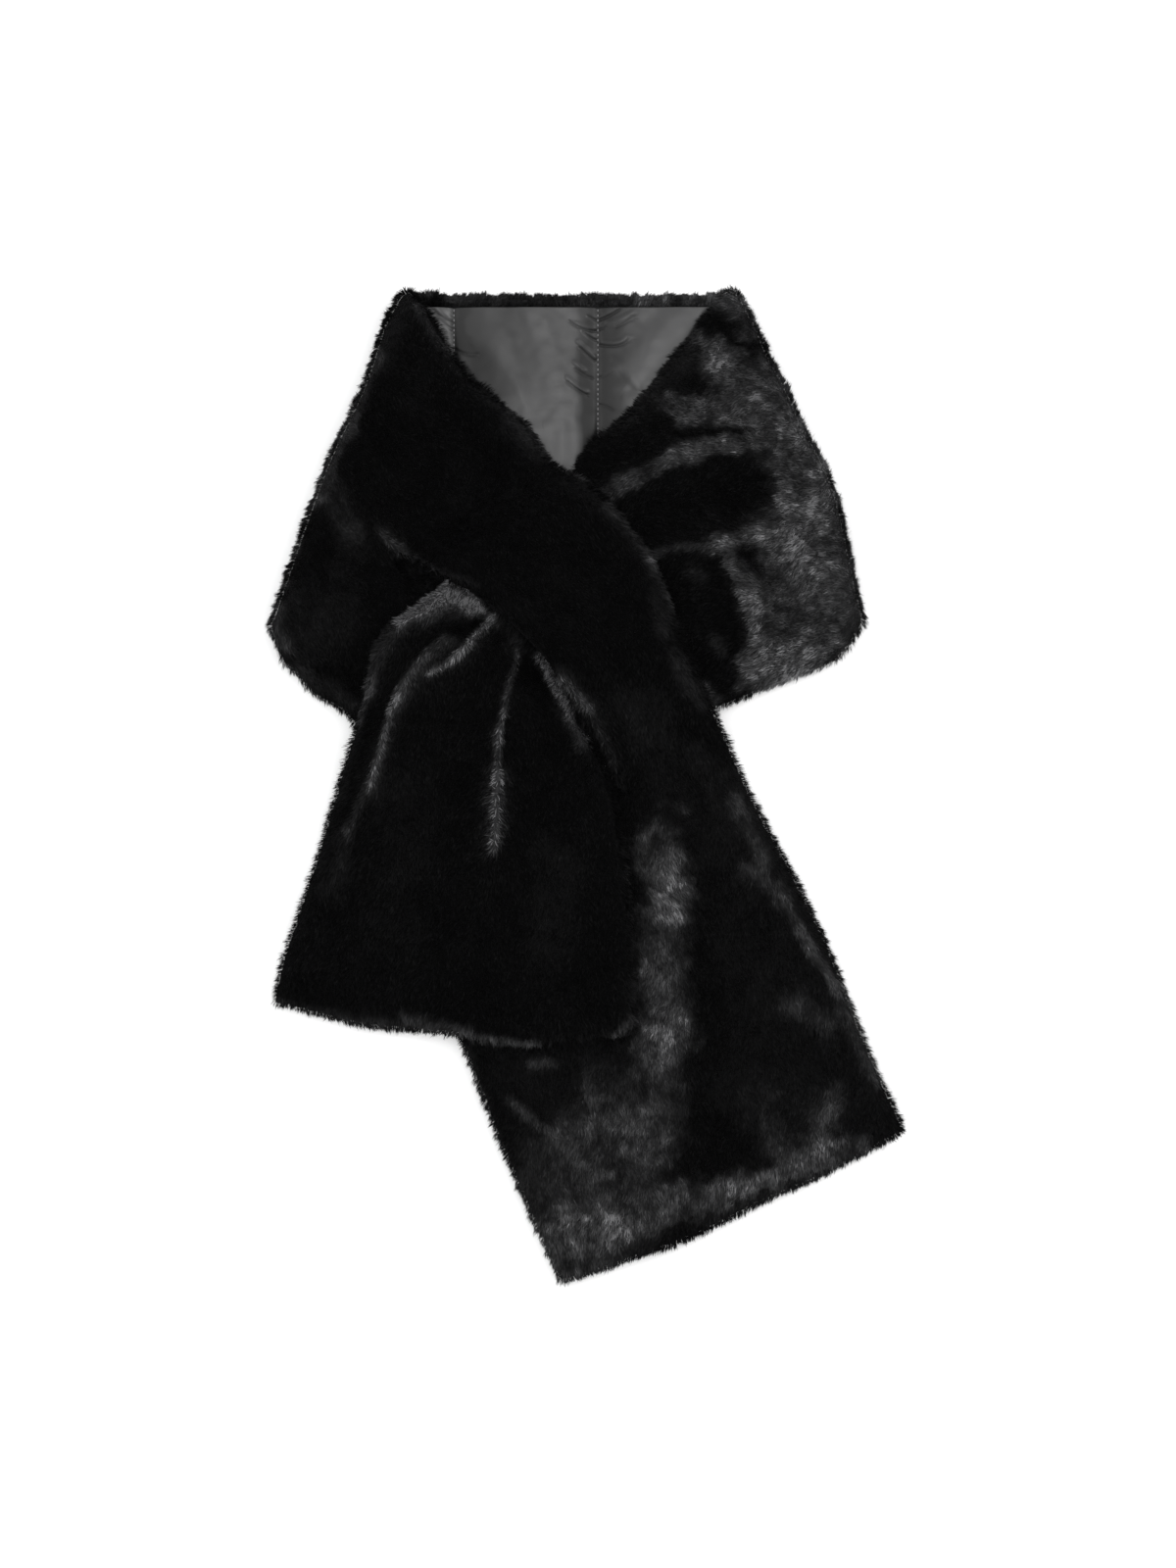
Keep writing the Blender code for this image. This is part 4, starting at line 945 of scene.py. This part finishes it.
def can_be_seen(centres, tree):
    """False for places that other cloth covers from every side looked from."""
    seen = np.zeros(len(centres), dtype=bool)
    for i, centre in enumerate(centres):
        start = Vector(centre) + Vector((0, 0, LOOK_FROM))
        for dx, dy in LOOKS:
            if tree.ray_cast(start, Vector((dx, dy, LOOK_RISE)), COVERED_WITHIN)[0] is None:
                seen[i] = True
                break
    return seen


def scatter(mesh, corners, weights, count, rng):
    """Roots and normals spread over the triangles given, by area and weight."""
    places = positions(mesh)
    normals = vertex_normals(mesh)
    a, b, c = (places[corners[:, k]] for k in range(3))
    area = weights * np.linalg.norm(np.cross(b - a, c - a), axis=1) / 2
    reached = np.cumsum(area)
    picks = (np.arange(count) + rng.random(count)) / count * reached[-1]
    chosen = np.minimum(np.searchsorted(reached, picks), len(area) - 1)
    u = np.sqrt(rng.random(count))[:, None]
    v = rng.random(count)[:, None]
    shares = (1 - u, u * (1 - v), u * v)
    root = sum(share * places[corners[chosen, k]] for k, share in enumerate(shares))
    normal = unit(sum(share * normals[corners[chosen, k]] for k, share in enumerate(shares)))
    return root, normal


def warp_at(plan, seed):
    """How the patches' edges wander at each point."""
    return np.column_stack([mottled(plan, layers, seed) for layers in WANDER])


def shine_at(plan, roots, band):
    """How pale the pile is painted at each point and how it parts: painted sheen, highlights and shade from
    the table, over the darkest pile's own mottled tone.
    """
    warp = warp_at(plan, band.seed)
    root_warp = warp if roots is plan else warp_at(roots, band.seed)
    patches = np.zeros(len(plan))
    ridges = np.zeros(len(plan))
    parting = np.zeros_like(plan)
    for row in band.sheens:
        width = (row.left + row.right) / 2
        if row.part:
            ragged = roots + root_warp * min(RIDGE_WANDER, RIDGE_WANDER_SHARE * width)
            near, out = beside(ragged, row, RIDGE_EDGE)
            parting += row.part * near[:, None] * out
            ridges += row.shine * near
        else:
            ragged = plan + warp * min(PATCH_WANDER, PATCH_WANDER_SHARE * width)
            near, _ = beside(ragged, row, HARD_EDGE if row.shine > PALE_PATCH else SOFT_EDGE)
            patches += row.shine * near
    patches = PATCH_LIMIT * np.tanh(PATCH_GAIN * patches / PATCH_LIMIT)
    shine = patches * (1 + CLOUDY * mottled(plan, CLOUDS, band.seed)) + ridges
    shine += band.tone * (1 + mottled(plan, TONES, band.seed))
    return np.clip(shine, 0, 1), parting


def where_pile_grows(band, tree):
    """The triangles of a band's cloth that pile grows on, and how thickly."""
    cloth = bpy.data.objects[f"cloth_{band.name}"].data
    corners = triangles_of(cloth)
    a, b, c = (positions(cloth)[corners[:, k]] for k in range(3))
    centres = (a + b + c) / 3
    out = unit(np.cross(b - a, c - a))
    up = out[:, 2]
    if band.fur_up:
        wanted = up > TURNED_UNDER
        wanted[wanted] = can_be_seen(centres[wanted], tree)
        weights = 1 + EDGE_EXTRA * ease((EDGE_RISE - up) / EDGE_OVER)
    else:
        on_strip = centres[:, 1] > SOLID_HIGH[1] - BACK_STRIP
        top = (up > BACK_UNDER) & on_strip
        rim = np.abs(up) < STEEP
        inner = (out[:, 1] < STRIP_INNER) & on_strip
        slot = (up > LEVEL) & (centres[:, 0] < SLOT_END[0]) & (centres[:, 1] < SLOT_END[1])
        slot[slot] = can_be_seen(centres[slot], tree)
        wanted = (top | rim | slot | (up < BACK_UNDER)) & ~inner
        weights = np.where(top, STRIP_THICK, np.where(rim | slot, RIM_THICK, UNDER_THICK))
    return cloth, corners[wanted], weights[wanted], centres[wanted]


def pile_mesh(band, growth, fur, cloth, corners, weights):
    """Fibres that each bend over along the nap: two faces, widest at the middle, pointed at both ends."""
    rng = np.random.default_rng(band.seed + len(growth.name))
    count = int(growth.fibres * fur.density)
    root, normal = scatter(cloth, corners, weights, count, rng)
    plan = root[:, :2]
    shine, parting = shine_at(plan, plan, band)
    near, to_tuft, number = tufts_at(root)

    heading, _ = nap_headings(plan, band.course)
    if not band.fur_up:
        heading = np.where((plan[:, 1] > SOLID_HIGH[1] - BACK_STRIP)[:, None], STRIP_NAP, heading)
    heading = heading + parting
    swirl = mottled(plan, SWIRLS, band.seed) + STRAY_TURN * rng.standard_normal(count)
    nap = np.column_stack((
        heading[:, 0] * np.cos(swirl) - heading[:, 1] * np.sin(swirl),
        heading[:, 0] * np.sin(swirl) + heading[:, 1] * np.cos(swirl),
        np.zeros(count)))
    nap = unit(nap - normal * (nap * normal).sum(axis=1)[:, None])
    lean = fur.upright + (fur.laid - fur.upright) * ease(shine / LIES_OVER)
    lean += STRAY_LEAN * rng.standard_normal(count) + mottled(plan, LEANS, band.seed)
    side = ease((SIDE_RISE - np.abs(normal[:, 2])) / SIDE_OVER)
    lean *= 1 - SIDE_UPRIGHT * side
    length = fur.length * (1 + STRAY_LENGTH * rng.standard_normal(count)).clip(SHORTEST, LONGEST)
    length *= 1 + (TUFT_LENGTH + SIDE_TUFT_LENGTH * side) * (number - 0.5) - SIDE_SHORT * side
    if not band.fur_up:
        length *= STRIP_LENGTH * (STRIP_SHORTEST + STRIP_TUFT_LENGTH * number)

    lower, upper = (
        normal * np.cos(share * lean)[:, None] + nap * np.sin(share * lean)[:, None]
        for share in (LOWER_LEAN, UPPER_LEAN))
    middle = root + lower * (0.5 * length)[:, None]
    tip = middle + upper * (0.5 * length)[:, None]
    along_cloth = to_tuft - normal * (to_tuft * normal).sum(axis=1)[:, None]
    pull = ((TUFT_PULL + SIDE_PULL * side) * (LEAST_PULL + MORE_PULL * rng.random(count)))[:, None]
    middle += MIDDLE_PULL * pull * along_cloth
    tip += pull * along_cloth

    roll = rng.uniform(-MOST_ROLL, MOST_ROLL, count)[:, None]
    across = unit(np.cross(upper, normal) + 1e-9)
    across = unit(across * np.cos(roll) + np.cross(across, upper) * np.sin(roll))
    half = across * (0.5 * fur.width * rng.uniform(NARROWEST, WIDEST, count))[:, None]
    points = np.stack((root, middle + half, middle - half, tip), axis=1)
    points[..., 2] = np.maximum(points[..., 2], FLOOR_GAP)

    first = 4 * np.arange(count)[:, None]
    face_corners = (first + np.array((0, 1, 2, 2, 1, 3))).ravel()
    palest = len(SHADES) - 1
    # Each fibre is painted in the shade of the painted sheen where it shows: pale for sheen and ridge
    # highlights, dark for painted shade.
    seen = root + rng.uniform(SEEN_FROM, SEEN_TO, count)[:, None] * (tip - root)
    shine, _ = shine_at(seen[:, :2], plan, band)
    # Random tone for each tuft, with painted light on its middle and painted shade at its rim.
    in_tuft = (1 + TUFT_SHADE * (number - 0.5)) * (1 + TUFT_MIDDLE_PAINTED_LIGHT - TUFT_RIM_PAINTED_SHADE * near)
    strays = STRAY_SHADE + STRAY_SHADE_PALE * shine + STRAY_SHADE_PARTED * np.linalg.norm(parting, axis=1)
    level = palest * shine * in_tuft + strays * rng.standard_normal(count)
    level = np.clip(np.floor(level + 0.5), 0, palest).astype(int)
    sizes = np.full(2 * count, 3)
    return mesh_from_arrays(growth.name, points.reshape(-1, 3), face_corners, sizes, np.repeat(level, 2))


class STOLE_OT_cloth(bpy.types.Operator):
    """Make the padded cloth of every length of the band"""

    bl_idname = "stole.cloth"
    bl_label = "Cloth"

    def execute(self, context):
        """Make it."""
        fur = context.scene.stole_fur
        lining = context.scene.stole_lining
        ground = shared("fur_ground", backing_material)
        satin = shared("lining_satin", satin_material, lining.colour)
        for band in BANDS:
            mesh = cloth_mesh(band, fur, lining.pitch)
            mesh.name = f"cloth_{band.name}"
            piece = add_piece(f"cloth_{band.name}", mesh, "black_fur", ground, satin)
            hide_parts(*band.nodes)
        return {"FINISHED"}


class STOLE_OT_pile(bpy.types.Operator):
    """Grow the pile on every length of the band"""

    bl_idname = "stole.pile"
    bl_label = "Pile"

    def execute(self, context):
        """Grow it."""
        fur = context.scene.stole_fur
        tree = tree_of(*(bpy.data.objects[f"cloth_{band.name}"].data for band in BANDS))
        shades = fibre_materials()
        for band in BANDS:
            cloth, corners, weights, centres = where_pile_grows(band, tree)
            _, along = nap_headings(centres[:, :2], band.course)
            for growth in band.growths:
                here = (along >= growth.start) & (along < growth.end)
                mesh = pile_mesh(band, growth, fur, cloth, corners[here], weights[here])
                add_piece(growth.name, mesh, "black_fur", *shades)
        return {"FINISHED"}


# The lining -------------------------------------------------------------------------------------------

LINING_TOP = 0.3866
LINING_FOOT = 0.2380
LINING_LEFT_TOP = -0.1440
LINING_RIGHT_TOP = 0.1080
LINING_LEFT_FOOT = -0.0330
LINING_RIGHT_FOOT = 0.0080
LINING_REST = 0.0118        # height of its underside
LINING_THICK = 0.0012
LINING_RIM = 0.012          # how far in from the neck edges the fur presses it
RIM_LEFT = 0.2              # how much of its relief is left at those edges
PUFF = 0.0046               # how high it puffs between the stitched lines
PUFF_SHAPE = 1.6            # how steeply it rises from them
RIPPLES = (Layer(0.007, 0.00016, 71), Layer(0.019, 0.00040, 72))    # how uneven it is all over

# A stitched line down the lining: its place, how far out to each side the satin has risen to its full
# height, and how far out to each side the satin beside it is painted in shade.
StitchLine = namedtuple("StitchLine", "x foot left right left_drawn right_drawn")
STITCH_LINES = (
    StitchLine(-0.109, 0.348, 0.012, 0.036, 0.003, 0.009),
    StitchLine(0.008, 0.272, 0.019, 0.028, 0.012, 0.026),
)
GROOVE = 0.0020             # reach of the dip at a stitched line
GROOVE_DEPTH = 0.0009
PAINTED_SHADE_EDGE = 2.4            # how suddenly the painted shade beside the stitched lines ends
PAINTED_SHADE_VARIES = (Layer(0.008, 0.45, 73),)                # how its reach varies
MOST_PAINTED_SHADE = 0.95           # the most painted shade on the satin there, apart from its folds
FOLD_SHADE = 230            # and the painted shade in a fold's dip, less on its crest, for each metre of its depth
FINE_COLUMNS = (80, 66, 24)  # columns of its faces to the left of the puckers, over them, and beyond
FINE_LEFT = 0.026           # how far the puckers reach from their stitched line
FINE_RIGHT = 0.028
FINE_WIDTH = 0.12           # and the width of the lining below which they reach less
FINE_MIDDLE = 0.6           # the furthest across the lining that their middle goes

# The stitches.
STITCH_START = 0.001        # where the first one starts, below the lining's top
STITCH_LIFT = 0.0001        # how far they lie above the satin
STITCH_RADIUS = 0.00050
STITCH_SIDES = 6
# How far along a stitch each of its rings is, and how thick it is there.
STITCH_RINGS = ((0, 0.35), (0.12, 0.85), (0.5, 1.15), (0.88, 0.85), (1, 0.35))
STITCH_FLAT = 0.7           # its height, as a share of its width

# A fold of the satin along a curve, as a Sheen: how far it rises or dips, and its reach to each side. Its
# depth also paints shade into the satin's colour in the dips, and less on the crests.
Crease = namedtuple("Crease", f"{CURVE} rise left right")
LINING_CREASES = (
    # Thin folds that run into the stitched line from the right, from the top down.
    Crease(0.0095, 0.3766, 0.0200, 0.3808, 0.0262, 0.3852, -0.00119, 0.0010, 0.0010),
    Crease(0.0090, 0.3790, 0.0200, 0.3836, 0.0240, 0.3864, 0.00056, 0.0016, 0.0012),
    Crease(0.0160, 0.3740, 0.0280, 0.3770, 0.0380, 0.3830, 0.00063, 0.0022, 0.0022),
    Crease(0.0231, 0.3706, 0.0300, 0.3732, 0.0376, 0.3790, -0.0007, 0.0010, 0.0010),
    Crease(0.0088, 0.3688, 0.0110, 0.3696, 0.0135, 0.3702, -0.00084, 0.0009, 0.0009),
    Crease(0.0100, 0.3562, 0.0280, 0.3524, 0.0340, 0.3614, -0.00098, 0.0010, 0.0010),
    Crease(0.0120, 0.3590, 0.0260, 0.3560, 0.0310, 0.3630, 0.00042, 0.0018, 0.0018),
    Crease(0.0210, 0.3430, 0.0300, 0.3350, 0.0400, 0.3220, 0.00042, 0.0040, 0.0030),
    Crease(0.0090, 0.3300, 0.0140, 0.3310, 0.0200, 0.3340, -0.00049, 0.0009, 0.0009),
    Crease(0.0090, 0.3080, 0.0150, 0.3070, 0.0210, 0.3030, -0.00049, 0.0010, 0.0010),
    # From its left.
    Crease(-0.0004, 0.3800, 0.0030, 0.3778, 0.0066, 0.3764, -0.00084, 0.0009, 0.0009),
    Crease(-0.0150, 0.3756, -0.0060, 0.3672, 0.0066, 0.3676, -0.00105, 0.0010, 0.0010),
    Crease(-0.0100, 0.3742, -0.0020, 0.3700, 0.0060, 0.3700, 0.00049, 0.0014, 0.0014),
    Crease(-0.0048, 0.3676, 0.0010, 0.3622, 0.0066, 0.3602, -0.00084, 0.0010, 0.0010),
    Crease(-0.0010, 0.3668, 0.0030, 0.3634, 0.0066, 0.3622, 0.00056, 0.0012, 0.0010),
    Crease(-0.0086, 0.3586, -0.0026, 0.3540, 0.0058, 0.3462, 0.00091, 0.0018, 0.0014),
    Crease(-0.0066, 0.3540, -0.0010, 0.3478, 0.0054, 0.3434, -0.00084, 0.0010, 0.0011),
    Crease(-0.0112, 0.3416, -0.0060, 0.3380, -0.0030, 0.3356, 0.00077, 0.0018, 0.0014),
    Crease(-0.0102, 0.3364, -0.0044, 0.3318, 0.0030, 0.3292, -0.00091, 0.0011, 0.0010),
    Crease(-0.0172, 0.3290, -0.0090, 0.3216, -0.0016, 0.3180, 0.00084, 0.0022, 0.0016),
    Crease(-0.0168, 0.3262, -0.0080, 0.3188, 0.0000, 0.3152, -0.00091, 0.0011, 0.0010),
    # Beside the line on the left.
    Crease(-0.1272, 0.3856, -0.1200, 0.3782, -0.1106, 0.3742, -0.00098, 0.0013, 0.0013),
    Crease(-0.1240, 0.3874, -0.1180, 0.3820, -0.1110, 0.3780, 0.00056, 0.0018, 0.0016),
    Crease(-0.1228, 0.3800, -0.1160, 0.3722, -0.1102, 0.3690, -0.00091, 0.0013, 0.0013),
    Crease(-0.1080, 0.3530, -0.0990, 0.3470, -0.0900, 0.3486, -0.00056, 0.0014, 0.0014),
    # The slack of the satin between the lines.
    Crease(-0.084, 0.392, -0.060, 0.344, -0.050, 0.290, 0.0012, 0.014, 0.020),
    Crease(-0.046, 0.392, -0.030, 0.350, -0.026, 0.270, 0.0010, 0.013, 0.014),
    Crease(-0.066, 0.390, -0.046, 0.352, -0.038, 0.300, -0.0005, 0.008, 0.010),
    Crease(-0.090, 0.352, -0.070, 0.330, -0.060, 0.306, -0.0005, 0.007, 0.009),
    Crease(0.092, 0.390, 0.060, 0.366, 0.040, 0.338, 0.0014, 0.016, 0.014),
    Crease(0.060, 0.392, 0.046, 0.370, 0.030, 0.322, -0.0005, 0.007, 0.009),
)

# Painted shade on the satin along a curve: how much darker it is painted, and the reach to each side.
Shadow = namedtuple("Shadow", f"{CURVE} less left right")
LINING_SHADOWS = (
    Shadow(-0.099, 0.388, -0.095, 0.360, -0.086, 0.328, 0.72, 0.032, 0.009),
    Shadow(-0.088, 0.340, -0.074, 0.322, -0.062, 0.308, 0.30, 0.016, 0.010),
    Shadow(0.001, 0.334, 0.003, 0.300, 0.004, 0.256, 0.80, 0.0070, 0.0090),
    Shadow(0.001, 0.368, -0.003, 0.346, -0.001, 0.328, 0.46, 0.0060, 0.0095),
    Shadow(-0.058, 0.392, -0.050, 0.362, -0.040, 0.336, 0.40, 0.028, 0.022),
)


def neck_lining_mesh(cells):
    """The lining that shows at the neck, puffed between its stitched lines and drawn in at them, with painted
    shade beside them and in its folds.
    """
    down = np.repeat(np.linspace(0, 1, cells)[:, None], sum(FINE_COLUMNS) + 1, axis=1)
    left = LINING_LEFT_TOP + (LINING_LEFT_FOOT - LINING_LEFT_TOP) * down
    right = LINING_RIGHT_TOP + (LINING_RIGHT_FOOT - LINING_RIGHT_TOP) * down
    middle = np.minimum(STITCH_LINES[-1].x, left + FINE_MIDDLE * (right - left))
    share = np.minimum((right - left) / FINE_WIDTH, 1)
    knots = (left, middle - FINE_LEFT * share, middle + FINE_RIGHT * share, right)
    x = np.hstack([
        knots[i][:, :1] + (knots[i + 1] - knots[i])[:, :1] * np.arange(count + (i == 2)) / count
        for i, count in enumerate(FINE_COLUMNS)])
    y = LINING_TOP + (LINING_FOOT - LINING_TOP) * down
    flat = np.column_stack((x.ravel(), y.ravel()))
    plan = flat + DRAFT_ORIGIN
    puff = np.full_like(x, PUFF)
    groove = np.zeros_like(x)
    # drawn is the painted shade of the satin: beside the stitched lines, along the shadow rows, and in the
    # folds, less on their crests.
    drawn = np.zeros_like(x)
    varies = 1 + mottled(flat, PAINTED_SHADE_VARIES, 0).reshape(x.shape)
    for line in STITCH_LINES:
        reach = np.where(x < line.x, line.left, line.right)
        away = np.abs(x - line.x)
        painted_shade_reach = np.where(x < line.x, line.left_drawn, line.right_drawn) * varies
        drawn += np.exp(-(away / painted_shade_reach) ** PAINTED_SHADE_EDGE)
        puff *= 1 - (1 - np.minimum(away / reach, 1)) ** PUFF_SHAPE
        groove -= GROOVE_DEPTH * np.exp(-(away / GROOVE) ** 2)
    for row in LINING_SHADOWS:
        drawn += row.less * beside(plan, row, FOLD_EDGE)[0].reshape(x.shape)
    drawn = np.minimum(drawn, MOST_PAINTED_SHADE)
    relief = np.zeros_like(x)
    for row in LINING_CREASES:
        fold = row.rise * beside(plan, row, FOLD_EDGE)[0].reshape(x.shape)
        relief += fold
        # Painted shade in the dips of the folds, lessened on their crests.
        drawn -= FOLD_SHADE * fold
    fine = mottled(plan, RIPPLES, 0).reshape(x.shape)
    pressed = ease(np.minimum(x - left, right - x) / LINING_RIM) * (1 - RIM_LEFT) + RIM_LEFT
    top = LINING_REST + LINING_THICK + pressed * (puff + groove + relief + fine)
    upper = np.column_stack((plan, top.ravel()))
    lower = np.column_stack((plan, np.full(len(plan), LINING_REST)))
    mesh = closed_sheet("lining_neck", upper, lower, x.shape)
    write_values(mesh, "drawn_in", np.pad(drawn.ravel(), (0, len(mesh.vertices) - drawn.size)))
    return mesh


def closed_sheet(name, upper, lower, shape):
    """A closed mesh: a grid of points above, and one flat face below."""
    rows, columns = shape
    number = np.arange(rows * columns).reshape(shape)
    quads = np.stack((number[:-1, :-1], number[1:, :-1], number[1:, 1:], number[:-1, 1:]), axis=-1)
    quads = quads.reshape(-1, 4)
    rim = np.concatenate((number[0, :-1], number[:-1, -1], number[-1, :0:-1], number[:0:-1, 0]))
    below = rows * columns + np.arange(len(rim))
    walls = np.column_stack((rim, np.roll(rim, -1), np.roll(below, -1), below))
    corners = np.concatenate((quads.ravel(), walls.ravel(), below))
    sizes = np.concatenate((np.full(len(quads) + len(walls), 4), (len(rim),)))
    mesh = mesh_from_arrays(name, np.vstack((upper, lower[rim])), corners, sizes)
    mesh.shade_smooth()
    return mesh


def stitch_mesh(name, starts, ends):
    """Stitches as small rounded bars between the points given."""
    ahead = unit(ends - starts)
    aside = unit(np.cross(ahead, (0.0, 0.0, 1.0)))
    up = np.cross(aside, ahead)
    turn = np.linspace(0, 2 * math.pi, STITCH_SIDES, endpoint=False)
    points = []
    for along, swell in STITCH_RINGS:
        centre = starts + (ends - starts) * along
        for angle in turn:
            out = aside * math.cos(angle) + STITCH_FLAT * up * math.sin(angle)
            points.append(centre + STITCH_RADIUS * swell * out)
    points = np.stack(points, axis=1)
    count = points.shape[1]
    bar = []
    for ring in range(0, count - STITCH_SIDES, STITCH_SIDES):
        for side in range(STITCH_SIDES):
            here = ring + side
            there = ring + (side + 1) % STITCH_SIDES
            bar.append((here, there, there + STITCH_SIDES, here + STITCH_SIDES))
    caps = np.array((tuple(range(STITCH_SIDES))[::-1], tuple(range(count - STITCH_SIDES, count))))
    base = count * np.arange(len(starts))[:, None, None]
    corners = np.concatenate(((base + np.array(bar)).ravel(), (base + caps).ravel()))
    sizes = np.concatenate((np.full(len(starts) * len(bar), 4), np.full(len(starts) * 2, STITCH_SIDES)))
    mesh = mesh_from_arrays(name, points.reshape(-1, 3), corners, sizes)
    mesh.shade_smooth()
    return mesh


def stitch_places(lining, stitch, step):
    """Where each stitch starts and ends along the stitched lines, just above the satin."""
    tree = tree_of(lining)
    starts = []
    ends = []
    for line in STITCH_LINES:
        x = line.x + DRAFT_ORIGIN[0]
        y = LINING_TOP + DRAFT_ORIGIN[1] - STITCH_START
        while y - stitch > line.foot + DRAFT_ORIGIN[1]:
            pair = []
            for place in (y, y - stitch):
                hit = tree.ray_cast(Vector((x, place, 1)), Vector((0, 0, -1)))[0]
                pair.append((x, place, hit.z + STITCH_LIFT))
            starts.append(pair[0])
            ends.append(pair[1])
            y -= step
    return np.array(starts), np.array(ends)


class STOLE_OT_lining(bpy.types.Operator):
    """Make the satin lining that shows at the neck"""

    bl_idname = "stole.lining"
    bl_label = "Lining"

    def execute(self, context):
        """Make it."""
        lining = context.scene.stole_lining
        satin = shared("lining_satin", satin_material, lining.colour)
        piece = add_piece("lining_neck", neck_lining_mesh(lining.cells), "quilted_satin", satin)
        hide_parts("back_lining")
        return {"FINISHED"}


class STOLE_OT_stitches(bpy.types.Operator):
    """Stitch the lining that shows at the neck"""

    bl_idname = "stole.stitches"
    bl_label = "Stitches"

    def execute(self, context):
        """Stitch it."""
        lining = context.scene.stole_lining
        piece = bpy.data.objects["lining_neck"]
        starts, ends = stitch_places(piece.data, lining.stitch, lining.stitch_step)
        thread = shared("quilting_thread", thread_material, lining.thread)
        stitches = stitch_mesh("lining_stitches", starts, ends)
        stitches = add_piece("lining_stitches", stitches, "quilted_satin", thread)
        return {"FINISHED"}


# The studio ------------------------------------------------------------------------------------------

FLOOR_SIZE = 60
FLOOR_DROP = 0.0005         # how far the floor lies below the stole
LAMP_SIZE = 1.2
OVERHEAD_PLACE = (0.0, 0.1, 3.5)
KEY_PLACE = (2.5, 1.3, 1.5)
SECOND_PLACE = (-2.3, 1.0, 1.7)


class STOLE_OT_studio(bpy.types.Operator):
    """Set the floor, the lights and the camera"""

    bl_idname = "stole.studio"
    bl_label = "Studio"

    def execute(self, context):
        """Set them."""
        studio = context.scene.stole_studio
        scene = context.scene
        bpy.ops.mesh.primitive_plane_add(size=FLOOR_SIZE, location=(0, 0, -FLOOR_DROP))
        floor = context.object
        floor.name = "floor"
        material, shader = new_material("pale_floor")
        grain = object_noise(material, scale=900, detail=2)
        card = varied(material, grain.outputs["Fac"], studio.floor, FLOOR_DYE)
        material.node_tree.links.new(card.outputs[MIX_RESULT], shader.inputs["Base Color"])
        shader.inputs["Roughness"].default_value = 0.9
        shader.inputs["Specular IOR Level"].default_value = 0.1
        floor.data.materials.append(material)

        world = bpy.data.worlds.new("studio_light")
        world.use_nodes = True
        world.node_tree.nodes["Background"].inputs["Color"].default_value = (1, 1, 1, 1)
        world.node_tree.nodes["Background"].inputs["Strength"].default_value = studio.fill
        scene.world = world
        scene.view_settings.view_transform = "Standard"

        lamps = (
            ("overhead", studio.overhead, OVERHEAD_PLACE),
            ("key", studio.key, KEY_PLACE),
            ("second", studio.second, SECOND_PLACE))
        for name, power, place in lamps:
            lamp = bpy.data.lights.new(name, "AREA")
            lamp.shape = "DISK"
            lamp.size = LAMP_SIZE
            lamp.energy = power
            light = bpy.data.objects.new(name, lamp)
            light.location = place
            light.rotation_euler = (-light.location).to_track_quat("-Z", "Y").to_euler()
            scene.collection.objects.link(light)

        camera_data = bpy.data.cameras.new("camera")
        camera_data.lens = studio.lens
        camera_data.sensor_fit = "VERTICAL"
        camera_data.sensor_height = 36
        camera = bpy.data.objects.new("camera", camera_data)
        camera.location = (DRAFT_ORIGIN[0], DRAFT_ORIGIN[1], studio.distance)
        scene.collection.objects.link(camera)
        scene.camera = camera
        return {"FINISHED"}


class STOLE_PT_panel(bpy.types.Panel):
    """Every step, with its settings"""

    bl_idname = "STOLE_PT_panel"
    bl_label = "Fur Stole"
    bl_space_type = "VIEW_3D"
    bl_region_type = "UI"
    bl_category = "Fur Stole"

    def draw(self, context):
        """Draw the settings above the buttons that use them."""
        for group, operators in PANEL_ROWS:
            box = self.layout.box()
            settings = getattr(context.scene, group)
            for name in settings.bl_rna.properties.keys():
                if name not in ("rna_type", "name"):
                    box.prop(settings, name)
            for operator in operators:
                box.operator(operator.bl_idname)


PANEL_ROWS = (
    ("stole_fur", (STOLE_OT_cloth, STOLE_OT_pile)),
    ("stole_lining", (STOLE_OT_lining, STOLE_OT_stitches)),
    ("stole_studio", (STOLE_OT_studio,)),
)
CLASSES = (
    FurSettings,
    LiningSettings,
    StudioSettings,
    STOLE_OT_cloth,
    STOLE_OT_pile,
    STOLE_OT_lining,
    STOLE_OT_stitches,
    STOLE_OT_studio,
    STOLE_PT_panel,
)


def register():
    """Register the classes and the settings."""
    for cls in CLASSES:
        bpy.utils.register_class(cls)
    bpy.types.Scene.stole_fur = PointerProperty(type=FurSettings)
    bpy.types.Scene.stole_lining = PointerProperty(type=LiningSettings)
    bpy.types.Scene.stole_studio = PointerProperty(type=StudioSettings)


def unregister():
    """Take them away again."""
    del bpy.types.Scene.stole_fur
    del bpy.types.Scene.stole_lining
    del bpy.types.Scene.stole_studio
    for cls in reversed(CLASSES):
        bpy.utils.unregister_class(cls)


def main():
    """Dress the stole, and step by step."""
    register()
    bpy.ops.stole.cloth()
    bpy.ops.stole.lining()
    bpy.ops.stole.stitches()
    bpy.ops.stole.pile()
    bpy.ops.stole.studio()


if __name__ == "__main__":
    main()
